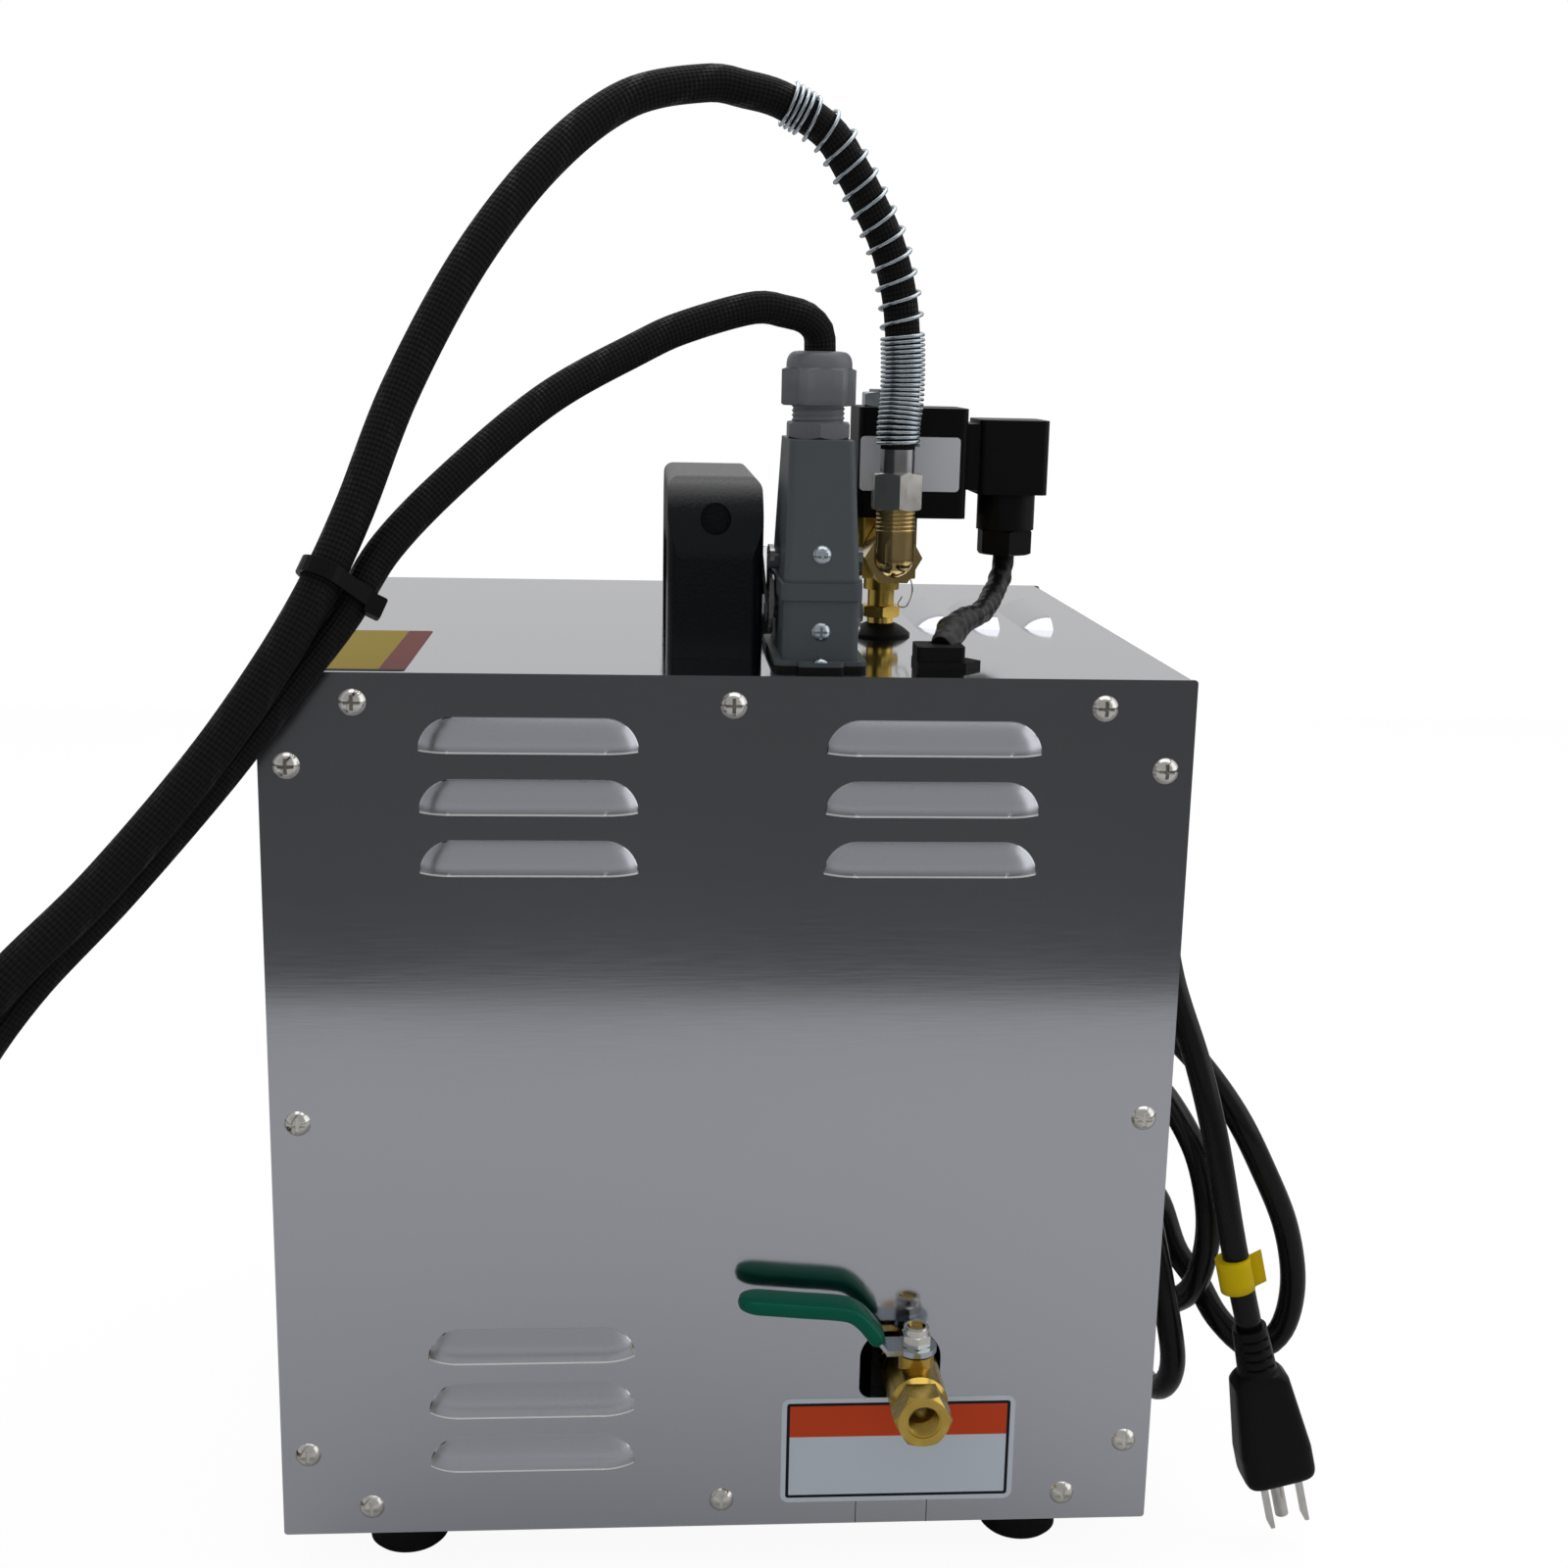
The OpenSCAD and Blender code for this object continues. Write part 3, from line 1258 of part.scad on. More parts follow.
module drain_pipe() {
    color("#b98f3c") placed() difference() {
        union() {
            at_valve(male_in + 4) cylinder(d = socket_d,
                h = male_in + 4 - rear_hex_to);
            at_valve(pipe_y1) cylinder(d = male_d, h = pipe_y1 - male_in);
        }
        at_valve(male_in + fit_gap) cylinder(d = male_d + 2 * fit_gap, h = male_in);
        at_valve(pipe_y1 + over) cylinder(d = ball_bore, h = pipe_y1);
    }
}

// The tank lies across the cabinet on two saddles; the heater enters at its left end.
tank_r = 18;
cap_x = con_x;
neck_bore = 20;
neck_wall = 3;
neck_top = top_z + 4;
boss_d = 16;
heater_bore = 40;
module tank_form(d, length, r) {
    translate([-length / 2, tank_y, tank_z]) rotate([0, 90, 0]) rotate_extrude()
        intersection() {
            translate([0, length / 2]) round_rect(d, length, r);
            square([d / 2, length]);
        }
}
module boiler_tank() {
    saddle_x = tank_len * 0.3;
    saddle_w = 6;
    boss_h = 24;
    color("#9a9da1") placed() difference() {
        union() {
            tank_form(tank_d, tank_len, tank_r);
            for (x = sides) translate([x * saddle_x - saddle_w / 2,
                tank_y - tank_d * 0.3, tray_top]) cube([saddle_w, tank_d * 0.6,
                    tank_z - tank_d * 0.36 - tray_top]);
            translate([col_x, col_y, pipe_low - boss_h]) cylinder(d = boss_d, h = boss_h);
            at_valve(pipe_y1 + boss_h) cylinder(d = socket_d, h = boss_h);
            translate([cap_x, cap_y, tank_z])
                cylinder(d = neck_bore + 2 * neck_wall, h = neck_top - tank_z);
        }
        tank_form(tank_d - 2 * tank_t, tank_len - 2 * tank_t, tank_r - tank_t);
        translate([col_x, col_y, tank_z]) cylinder(d = pipe_bore, h = tank_d);
        at_valve(tank_y) cylinder(d = ball_bore, h = tank_y);
        translate([cap_x, cap_y, tank_z]) cylinder(d = neck_bore, h = cab_h);
        translate([-tank_len, tank_y, tank_z]) rotate([0, 90, 0])
            cylinder(d = heater_bore + 2 * fit_gap, h = tank_len);
    }
}
module heater_element() {
    rod_d = 8;
    bend = 12;
    reach = tank_len * 0.75;
    color("#8d7a5a") placed() translate([-tank_len / 2, tank_y, tank_z]) {
        translate([-6, 0, 0]) rotate([0, 90, 0]) cylinder(d = heater_bore + 12, h = 6);
        rotate([0, 90, 0]) cylinder(d = heater_bore, h = 3 * tank_t);
        for (z = sides) {
            translate([0, 0, z * bend]) rotate([0, 90, 0]) cylinder(d = rod_d, h = reach);
        }
        translate([reach, 0, 0]) rotate([90, 0, 0]) rotate([0, 0, -90])
            rotate_extrude(angle = 180) translate([bend, 0]) circle(d = rod_d);
    }
}
module filler_cap() {
    rise = 1;
    color("#1c1d1f") placed() translate([cap_x, cap_y, neck_top + free_gap]) {
        difference() {
            translate([0, 0, rise]) cylinder(d = cap_d, h = cap_d * 0.4);
            for (a = [0 : 30 : 330]) rotate([0, 0, a]) translate([cap_d / 2, 0, 0])
                cylinder(d = cap_d / 9, h = cap_d);
        }
        cylinder(d = neck_bore + 2 * neck_wall, h = rise);
        translate([0, 0, -cap_d / 3])
            cylinder(d = neck_bore - 2 * run_gap, h = cap_d / 3);
    }
}

// Controls on the far panel: gauge, two rocker switches and two lamps.
dial_z = gauge_out * 0.4;
lens_z = gauge_out * 0.8;
lens_t = 1.5;
spindle_d = 2;
rim = 2.5;
module at_gauge(z) {
    to_front(-gauge_x, top_z - control_down) translate([0, 0, z]) children();
}
module pressure_gauge() {
    color("#d8d8d4") placed() {
        at_gauge(-gauge_case_d / 2) cylinder(d = gauge_case_d, h = gauge_case_d / 2);
        at_gauge(-gauge_case_d * 0.7) cylinder(d = pipe_d, h = gauge_case_d * 0.3);
        at_gauge(0) difference() {
            cylinder(d = gauge_d, h = gauge_out);
            translate([0, 0, dial_z]) cylinder(d = gauge_d - 4 * rim, h = gauge_out);
            translate([0, 0, lens_z]) cylinder(d = gauge_d - 2 * rim, h = gauge_out);
        }
        at_gauge(dial_z - over) cylinder(d = spindle_d, h = over + (lens_z - dial_z) * 0.7);
    }
}
module gauge_needle() {
    hub = 2 * spindle_d;
    long = gauge_d * 0.34;
    color("#101010") placed() at_gauge(dial_z + free_gap) rotate([0, 0, 225])
        difference() {
            union() {
                cylinder(d = hub, h = 1.6);
                translate([0, 0, over]) linear_extrude(over) polygon([[-long / 3, -hub / 4],
                    [long, -over / 2], [long, over / 2], [-long / 3, hub / 4]]);
            }
            translate([0, 0, -over]) cylinder(d = spindle_d + 2 * run_gap, h = rim);
        }
}
module gauge_lens() {
    color([0.8, 0.9, 1, 0.4]) placed() at_gauge(lens_z)
        cylinder(d = gauge_d - 2 * rim - 2 * fit_gap, h = lens_t);
}
rocker_w = 16;
rocker_h = 24;
rocker_pin_d = 3;
rocker_deep = 6;
rocker_tilt = 8;
switch_deep = 20;
pivot_z = -3;
module at_switch(i) {
    to_front(switch_x + i * switch_pitch, top_z - control_down) children();
}
module switch_frames() {
    hollow = [rocker_w + 2 * free_gap, rocker_h + 2.4];
    color("#151516") placed() for (i = [0, 1]) at_switch(i) difference() {
        union() {
            linear_extrude(2) round_rect(switch_w, switch_h, 2);
            translate([0, 0, -switch_deep]) linear_extrude(switch_deep + over)
                square([switch_cut_w, switch_cut_h], center = true);
        }
        translate([0, 0, pivot_z - rocker_deep - 2 * over])
            linear_extrude(switch_deep) square(hollow, center = true);
        translate([0, 0, pivot_z]) rotate([0, 90, 0]) cylinder(
            d = rocker_pin_d + 2 * run_gap, h = rocker_w + 2 * over + 4 * free_gap,
            center = true);
    }
}
module rocker(i) {
    color("#b3201c") placed() at_switch(i) translate([0, 0, pivot_z])
        rotate([-rocker_tilt, 0, 0]) {
            along_x(-rocker_w / 2, rocker_w) polygon([
                [-rocker_h / 2, 0], [-rocker_h / 2, 3.5], [0, 5.2], [rocker_h / 2, 3.5],
                [rocker_h / 2, 0], [rocker_h / 5, -rocker_deep + 1],
                [-rocker_h / 5, -rocker_deep + 1]]);
            rotate([0, 90, 0]) cylinder(d = rocker_pin_d,
                h = rocker_w + 2 * over + 2 * free_gap, center = true);
        }
}
module rocker_main() { rocker(0); }
module rocker_iron() { rocker(1); }
module pilot_lamps() {
    color("#d23a2a") placed() for (i = [0, 1])
        to_front(switch_x + i * switch_pitch, top_z - control_down + lamp_up) {
            cylinder(d = lamp_d, h = 2);
            intersection() {
                translate([0, 0, 2 - lamp_d * 0.2]) sphere(d = lamp_d * 0.9);
                cylinder(d = lamp_d, h = lamp_d);
            }
            translate([0, 0, -lamp_d]) cylinder(d = lamp_neck_d, h = lamp_d);
        }
}

// The mains lead leaves through an elbow boot and hangs in loose loops.
boot_y = 120;
boot_z = 152;
boot_hole_d = 12;
boot_bend = 10;
boot_out = 4;
boot_d = 15;
boot_end_y = 92;
mains_x = cab_w / 2 + boot_out + boot_bend;
module mains_boot() {
    color("#18181a") placed() translate([cab_w / 2, boot_y, boot_z]) {
        rotate([0, 90, 0]) cylinder(d = boot_d + 8, h = 2);
        rotate([0, 90, 0]) cylinder(d = boot_d, h = boot_out);
        translate([-2 * sheet_t, 0, 0]) rotate([0, 90, 0])
            cylinder(d = boot_hole_d - 2 * fit_gap, h = 2 * sheet_t + over);
        translate([boot_out, -boot_bend, 0]) rotate_extrude(angle = 90)
            translate([boot_bend, 0]) circle(d = boot_d);
        translate([boot_out + boot_bend, -boot_bend, 0]) rotate([90, 0, 0])
            cylinder(d1 = boot_d, d2 = mains_d + 2, h = boot_y - boot_bend - boot_end_y);
    }
}
mains_points = [[168, 68, 150.5], [174, 46, 138], [177.5, 38, 118], [177.5, 40, 98],
    [175, 50, 80], [169, 72, 67], [161, 96, 71], [157, 112, 92], [157, 111, 118],
    [157, 94, 135], [157, 66, 134], [158, 45, 113], [162, 37, 90], [168, 38, 61],
    [168, 48, 44], [167, 70, 34.5], [168, 96, 37], [170, 117, 58], [170, 119, 80],
    [170, 103, 101], [171.5, 82, 103], [175, 68, 90], [181.5, 60, 81], [188, 50, 70],
    [199, 43, 62], [209, 41.5, 69], [212, 40.5, 88], [207, 39, 112], [196, 38, 136],
    [185, 39, 156], [174, 50, 171], [166, 73, 178], [160, 104, 184], [156, 124, 203],
    [156, 123, 224], [156, 104, 243], [156, 74, 244], [156.5, 52, 228],
    [158.5, 37, 206], [166, 25, 180], [172.5, 19.5, 154], [179, 16, 122],
    [184.4, 15, 99]];
plug_start = [188, 15, 85];
plug_tilt = 166;
plug_way = [sin(plug_tilt), 0, cos(plug_tilt)];
mains_route = concat([[mains_x, boot_end_y - fit_gap, boot_z],
    [mains_x, boot_end_y - mains_d / 2, boot_z]], mains_points,
    [plug_start - mains_d / 2 * plug_way, plug_start - fit_gap * plug_way]);
module mains_lead() {
    color("#101011") placed() even_tube(mains_route, mains_d, 8);
}
relief_len = 18;
relief_in = mains_d / 2 + free_gap;
relief_low = 3;
relief_step = 3.6;
relief_cut = 1.4;
shoulder = 4;
plug_len = 60;
plug_neck_w = 19;
module at_plug() { translate(plug_start) rotate([0, plug_tilt, 0]) children(); }
// The plug's outline seen from the front and from the side, as shares of its sizes.
module plug_outline(w, neck, z0, z1) {
    polygon([[-neck / 2, z0], [-w / 2, z0 + (z1 - z0) * 0.75], [-w / 2, z1 - 2],
        [-w / 2 + 2, z1], [w / 2 - 2, z1], [w / 2, z1 - 2],
        [w / 2, z0 + (z1 - z0) * 0.75], [neck / 2, z0]]);
}
module mains_plug() {
    color("#131314") placed() at_plug() difference() {
        union() {
            cylinder(d1 = mains_d + 3, d2 = mains_d + 5.3, h = relief_len + shoulder);
            intersection() {
                translate([0, plug_t / 2, 0]) rotate([90, 0, 0]) linear_extrude(plug_t)
                    plug_outline(plug_w, plug_neck_w, relief_len, plug_len);
                translate([-plug_w / 2, 0, 0]) rotate([90, 0, 90]) linear_extrude(plug_w)
                    plug_outline(plug_t, plug_t * 0.7, relief_len, plug_len);
            }
        }
        for (i = [0 : 3], s = sides) translate([-mains_d,
            s * relief_in - (s < 0 ? mains_d : 0), relief_low + i * relief_step])
            cube([2 * mains_d, mains_d, relief_cut]);
        blade_sockets(fit_gap);
    }
}
blade_w = 6.3;
blade_t = 1.5;
blade_len = 17;
blade_in = 5;
earth_d = 4.8;
earth_len = 20;
module blade_sockets(gap) {
    for (s = sides) translate([s * blade_pitch / 2 - blade_t / 2 - gap,
        -plug_t * 0.18 - blade_w / 2 - gap, plug_len - blade_in - gap])
        cube([blade_t + 2 * gap, blade_w + 2 * gap, blade_in + blade_len]);
    translate([0, plug_t * 0.25, plug_len - blade_in - gap])
        cylinder(d = earth_d + 2 * gap, h = blade_in + earth_len);
}
module plug_pins() { color("silver") placed() at_plug() blade_sockets(0); }

// Holes in the top, as places and diameters.
top_holes = concat([[col_x, col_y, grommet_neck_d + 2 * fit_gap],
    [cap_x, cap_y, neck_bore + 2 * neck_wall + 4 * free_gap],
    [lead_end[0], lead_end[1], lead_d], [con_x, con_mid_y, con_w / 2],
    [con_x, lug_y, lug_screw_d + 2 * fit_gap]],
    [for (p = handle_screw_places) [p[0], p[1], handle_screw_d + 2 * fit_gap]]);

base_tray();
cabinet_wrap();
rear_panel();
front_panel();
panel_screws();
rubber_feet();
assembly_screws();
carry_handle();
connector_gasket();
connector_base();
connector_hood();
latch_lever();
gland_body();
gland_nut();
column_grommet();
steam_pipe();
valve_body();
plunger_tube();
plunger();
plunger_spring();
solenoid_coil();
coil_nut();
din_plug();
plug_nut();
coil_lead();
lead_grommet();
outlet_elbow();
hose_nut();
hose_ferrule();
spring_guard();
steam_hose();
steam_hose_coil();
hose_end_fitting();
hose_strap();
iron_cable();
iron_cable_coil();
iron_cable_plug();
drain_pipe();
drain_valve_body();
ball_seats();
drain_ball();
drain_stem();
drain_lever();
lever_grip();
lever_nut();
mains_boot();
mains_lead();
mains_plug();
plug_pins();
boiler_tank();
heater_element();
pressure_gauge();
gauge_needle();
gauge_lens();
switch_frames();
rocker_main();
rocker_iron();
pilot_lamps();
filler_cap();
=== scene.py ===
# %% [markdown]
# # A small steam boiler for a hand iron
# A sheet-metal box with a boiler tank in it. A solenoid valve on the top lets steam into a
# hose, and a connector beside it feeds the iron's heater. A ball valve drains the tank.
# The machined parts come from the drawing in one shared frame, so this lesson adds what a
# drawing leaves out: soft cords, threads, labels and the finish of each surface.

import bpy
import numpy as np
from mathutils import Matrix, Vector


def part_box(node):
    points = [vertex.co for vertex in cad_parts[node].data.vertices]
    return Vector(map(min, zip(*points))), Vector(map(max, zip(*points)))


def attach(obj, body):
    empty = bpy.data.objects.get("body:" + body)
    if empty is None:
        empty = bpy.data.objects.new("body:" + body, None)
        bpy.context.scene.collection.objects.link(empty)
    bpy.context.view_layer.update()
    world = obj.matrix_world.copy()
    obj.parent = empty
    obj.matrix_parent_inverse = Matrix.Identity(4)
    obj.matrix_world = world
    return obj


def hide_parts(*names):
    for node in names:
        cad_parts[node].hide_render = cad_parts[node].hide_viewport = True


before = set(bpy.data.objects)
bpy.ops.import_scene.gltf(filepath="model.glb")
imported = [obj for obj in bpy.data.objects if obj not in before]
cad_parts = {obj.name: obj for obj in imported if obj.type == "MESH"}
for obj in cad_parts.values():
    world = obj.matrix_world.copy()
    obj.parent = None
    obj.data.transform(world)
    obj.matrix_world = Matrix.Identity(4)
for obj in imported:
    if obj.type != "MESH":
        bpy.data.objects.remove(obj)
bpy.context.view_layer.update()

# %% [markdown]
# The drawing counts millimetres from the near panel, and the frame's origin lies 120 mm
# behind it. One helper turns drawing points into frame points, for any array of them.

# %% From drawing points to the frame
MM = 0.001
ORIGIN_DEPTH = 120
PANEL_TOP = 320


def placed(points):
    """Drawing points in millimetres to metres in the frame: subtract the origin, then scale."""
    return (np.asarray(points, float) - [0, ORIGIN_DEPTH, 0]) * MM


# %% [markdown]
# The camera stands a little left of the middle, just above the handle's height, and looks
# slightly down. Its three turns and its focal length were fitted to the cabinet's corners
# and screws, so the picture's perspective is the lens's own and not a guess.

# %% Camera
LOOK_DOWN, ROLL, PAN = 0.2132, 0.0217, -0.0749
eye = np.array([-0.03033, -0.7441, 0.4205])
ahead = np.array([-np.sin(PAN) * np.cos(LOOK_DOWN), np.cos(PAN) * np.cos(LOOK_DOWN),
                  -np.sin(LOOK_DOWN)])
flat_right = np.array([np.cos(PAN), np.sin(PAN), 0])
flat_up = np.cross(flat_right, ahead)
right = np.cos(ROLL) * flat_right + np.sin(ROLL) * flat_up
upward = np.cos(ROLL) * flat_up - np.sin(ROLL) * flat_right
lens = bpy.data.cameras.new("camera")
lens.lens, lens.sensor_width = 45.72, 36
camera = bpy.data.objects.new("camera", lens)
bpy.context.collection.objects.link(camera)
camera.matrix_world = Matrix([[right[k], upward[k], -ahead[k], eye[k]] for k in range(3)]
                             + [[0, 0, 0, 1]])
bpy.context.scene.camera = camera
print("camera height", eye[2], "m, lens", lens.lens, "mm")

# %% [markdown]
# Shader maths reads best as plain arithmetic. This class wraps one output of a node, so
# that `1 - mask * 0.5` adds the Math nodes by itself. Every other node comes from `node`.

# %% Arithmetic on shader sockets


class Link:
    """One output in a material's node tree. Arithmetic on it adds Math nodes."""

    def __init__(self, tree, socket=None):
        self.tree, self.socket = tree, socket

    def node(self, kind, settings=None, inputs=None, out=0):
        """Adds a node: its settings first, then a value or link for each of its inputs."""
        made = self.tree.nodes.new(kind)
        for name, value in (settings or {}).items():
            if name == "stops":
                ramp = made.color_ramp.elements
                ramp[0].position, ramp[0].color = value[0]
                ramp[1].position, ramp[1].color = value[-1]
                for place, colour in value[1:-1]:
                    ramp.new(place).color = colour
            else:
                setattr(made, name, value)
        for name, value in (inputs or {}).items():
            if isinstance(value, Link):
                self.tree.links.new(value.socket, made.inputs[name])
            else:
                made.inputs[name].default_value = value
        return Link(self.tree, made.outputs[out])

    def math(self, operation, first, second=0.0):
        """A Math node of that operation on two values or links."""
        return self.node("ShaderNodeMath", {"operation": operation}, {0: first, 1: second})

    def __add__(self, other):
        return self.math("ADD", self, other)

    def __sub__(self, other):
        return self.math("SUBTRACT", self, other)

    def __rsub__(self, other):
        return self.math("SUBTRACT", other, self)

    def __mul__(self, other):
        return self.math("MULTIPLY", self, other)

    def __truediv__(self, other):
        return self.math("DIVIDE", self, other)

    def __gt__(self, other):
        return self.math("GREATER_THAN", self, other)

    def __lt__(self, other):
        return self.math("LESS_THAN", self, other)

    def __abs__(self):
        return self.math("ABSOLUTE", self)

    def sin(self):
        return self.math("SINE", self)

    def at_least(self, other):
        return self.math("MAXIMUM", self, other)

    def at_most(self, other):
        return self.math("MINIMUM", self, other)

    def parts(self):
        """The X, Y and Z of a vector."""
        made = self.node("ShaderNodeSeparateXYZ", inputs={0: self}).socket.node
        return [Link(self.tree, made.outputs[k]) for k in range(3)]

    def mix(self, mask, first, second):
        """A colour that goes from first to second as mask goes from 0 to 1."""
        return self.node("ShaderNodeMix", {"data_type": "RGBA"},
                         {"Factor": mask, 6: first, 7: second}, 2)

    __radd__, __rmul__ = __add__, __mul__


def rgb(red, green, blue):
    return (red, green, blue, 1.0)


def grey(level):
    return rgb(level, level, level)


# %% [markdown]
# One helper makes every finish. `paint` receives the tree and gives back the inputs that
# change over the surface, such as a grain in the roughness, and the rest are constants.

# %% A finish


def finish(name, colour, rough, metal=0.0, coat=0.0, shine=0.5, paint=None,
           settings=None):
    """A material of one Principled shader, with constants and the inputs that paint gives."""
    made = bpy.data.materials.new(name)
    made.use_nodes = True
    tree = made.node_tree
    shader = tree.nodes["Principled BSDF"]
    shader.inputs["Base Color"].default_value = colour
    shader.inputs["Roughness"].default_value = rough
    shader.inputs["Metallic"].default_value = metal
    shader.inputs["Coat Weight"].default_value = coat
    shader.inputs["Coat Roughness"].default_value = 0.12
    shader.inputs["Specular IOR Level"].default_value = shine
    for slot_name, value in (settings or {}).items():
        shader.inputs[slot_name].default_value = value
    for slot_name, value in (paint(Link(tree)) if paint else {}).items():
        tree.links.new(value.socket, shader.inputs[slot_name])
    return made


def place_of(tree):
    """The surface point in the object's own coordinates, which are the frame's metres."""
    return tree.node("ShaderNodeTexCoord", out=3)


def speckle(tree, where, scale, stretch=(1, 1, 1), detail=2.0):
    """Noise from 0 to 1 at that scale per metre, stretched along the axes."""
    mapped = tree.node("ShaderNodeMapping", inputs={"Vector": where, "Scale": stretch})
    return tree.node("ShaderNodeTexNoise", inputs={"Vector": mapped, "Scale": scale,
                                                   "Detail": detail})


def bump(tree, height, depth, strength=1.0):
    """The normal of a surface raised by height times depth in metres."""
    return tree.node("ShaderNodeBump", inputs={"Height": height, "Distance": depth,
                                               "Strength": strength})


# %% [markdown]
# The cabinet is stainless sheet. Rolled sheet keeps a fine grain, so a stretched noise
# varies the roughness a little and tilts the normal by thousandths of a millimetre.
# The near panel's grain is level, and the wrap's runs front to back.

# %% Sheet metal


def grained(stretch, rough, swing, depth):
    """Paint for rolled sheet: roughness = rough + swing (grain - 1/2), and grain as a bump."""
    def paint(tree):
        where = place_of(tree)
        grain = speckle(tree, where, 30, stretch, 4.0)
        cloud = speckle(tree, where, 9, (1, 1, 1), 1.0)
        return {"Roughness": rough + swing * (grain - 0.5) + 0.06 * (cloud - 0.5),
                "Normal": bump(tree, grain, depth)}
    return paint


SHEET = rgb(0.505, 0.515, 0.56)
PANEL_MIDDLE, LIP_MIDDLE, LIP_STEP, LIP_HIGHLIGHT_WIDE, LOUVRE_DULL = 170, 105, 20, 0.6, 0.17
SLOT_X, SLOT_HALF, SLOT_TOP, SLOT_LINE = 59.6, 12.5, 29, 0.16


def seamed(tree):
    """The panel's grain, duller on the pressed louvres, with a painted highlight on their lips:
    a thin band, paler and less metallic, that is partly the paler cut edge and partly the bright
    line the light makes along the lip. Also the slot's edges below the label. The lips stand
    LIP_MIDDLE, and one LIP_STEP more and less, above and below the middle of the panel."""
    made = grained((2, 2, 40), 0.115, 0.06, 0.000003)(tree)
    x, y, z = place_of(tree).parts()
    pressed = y < (-0.3 - ORIGIN_DEPTH) * MM
    made["Roughness"] = made["Roughness"] + LOUVRE_DULL * pressed
    off = abs(abs(z - PANEL_MIDDLE * MM) - LIP_MIDDLE * MM)
    off = abs(off - LIP_STEP * MM * (off > LIP_STEP / 2 * MM))
    # Painted highlight: a thin band along each louvre's lip is pale and less metallic, for the
    # bright line the light makes there; the cut edge itself is paler too.
    lip_highlight = pressed * (off < LIP_HIGHLIGHT_WIDE * MM)
    made["Metallic"] = 1 - 0.6 * lip_highlight
    seam = ((abs(abs(x - SLOT_X * MM) - SLOT_HALF * MM) < SLOT_LINE * MM)
            * (z < SLOT_TOP * MM) * (y < (0.5 - ORIGIN_DEPTH) * MM))
    sheet = tree.mix(lip_highlight, SHEET, grey(0.85))
    made["Base Color"] = tree.mix(seam, sheet, grey(0.06))
    return made


panel_steel = finish("satin panel steel", SHEET, 0.12, 1.0, paint=seamed)
wrap_steel = finish("bright wrap steel", rgb(0.56, 0.565, 0.60), 0.1, 1.0,
                    paint=grained((40, 2, 40), 0.09, 0.05, 0.000003))
tank_steel = finish("welded tank steel", rgb(0.45, 0.45, 0.46), 0.35, 1.0,
                    paint=grained((2, 40, 2), 0.35, 0.2, 0.00002))

# %% [markdown]
# Small metal parts are plated, cast, turned or stamped. Nickel is a warm white, zinc a
# bluish one, and brass from a bar is bright where it was cut and duller in its corners.

# %% Plated and turned metal


def worn(first, second, scale, rough, swing):
    """Paint for bare metal: colour and roughness drift between two states with a noise."""
    def paint(tree):
        cloud = speckle(tree, place_of(tree), scale, (1, 1, 1), 4.0)
        return {"Base Color": tree.mix(cloud, first, second),
                "Roughness": rough + swing * (cloud - 0.5)}
    return paint


nickel = finish("nickel plate", rgb(0.74, 0.72, 0.68), 0.16, 1.0,
                paint=worn(rgb(0.54, 0.52, 0.48), rgb(0.86, 0.84, 0.80), 160, 0.18, 0.2))
zinc = finish("zinc plate", rgb(0.5, 0.56, 0.62), 0.22, 1.0,
              paint=worn(rgb(0.36, 0.44, 0.50), rgb(0.60, 0.63, 0.66), 120, 0.24, 0.2))
brass = finish("turned brass", rgb(0.58, 0.38, 0.07), 0.24, 1.0,
               paint=worn(rgb(0.38, 0.23, 0.03), rgb(0.76, 0.55, 0.14), 130, 0.25, 0.22))
bright_brass = finish("polished brass", rgb(0.78, 0.56, 0.22), 0.13, 1.0,
                      paint=worn(rgb(0.62, 0.42, 0.14), rgb(0.88, 0.67, 0.32), 90, 0.14, 0.1))
steel = finish("turned steel", rgb(0.4, 0.4, 0.41), 0.2, 1.0,
               paint=worn(rgb(0.26, 0.26, 0.27), rgb(0.5, 0.5, 0.51), 140, 0.2, 0.16))
chrome = finish("chrome", rgb(0.75, 0.76, 0.78), 0.07, 1.0)
copper = finish("heater sheath", rgb(0.42, 0.30, 0.2), 0.4, 1.0)

# %% [markdown]
# Plastics and rubbers differ by their gloss and their skin. A moulded skin has a fine
# orange-peel noise, die castings under powder coat a coarser one, and rubber scatters
# almost all light.

# %% Plastic, rubber and powder coat


def skinned(scale, depth, rough=None, swing=0.0):
    """Paint for a moulded skin: a noise as a bump, and as a swing of the roughness."""
    def paint(tree):
        skin = speckle(tree, place_of(tree), scale, (1, 1, 1), 3.0)
        made = {"Normal": bump(tree, skin, depth)}
        if rough is not None:
            made["Roughness"] = rough + swing * (skin - 0.5)
        return made
    return paint


handle_black = finish("satin handle plastic", rgb(0.004, 0.005, 0.007), 0.25, shine=0.21,
                      paint=skinned(900, 0.00008, 0.3, 0.2))
hood_grey = finish("powder-coated casting", rgb(0.070, 0.082, 0.090), 0.42, shine=0.25,
                   paint=skinned(1200, 0.00006, 0.42, 0.15))
gland_grey = finish("grey polyamide", rgb(0.150, 0.158, 0.175), 0.36, shine=0.35,
                    paint=skinned(700, 0.00004))
resin_black = finish("moulded resin", grey(0.004), 0.4, shine=0.1, paint=skinned(800, 0.00007))
plug_black = finish("black plug plastic", grey(0.004), 0.36, shine=0.12,
                    paint=skinned(900, 0.00006))
cord_black = finish("black vinyl cord", grey(0.005), 0.25, shine=0.18,
                    paint=skinned(300, 0.00005, 0.26, 0.1))
rubber = finish("matt rubber", grey(0.006), 0.55, shine=0.12, paint=skinned(500, 0.00012))
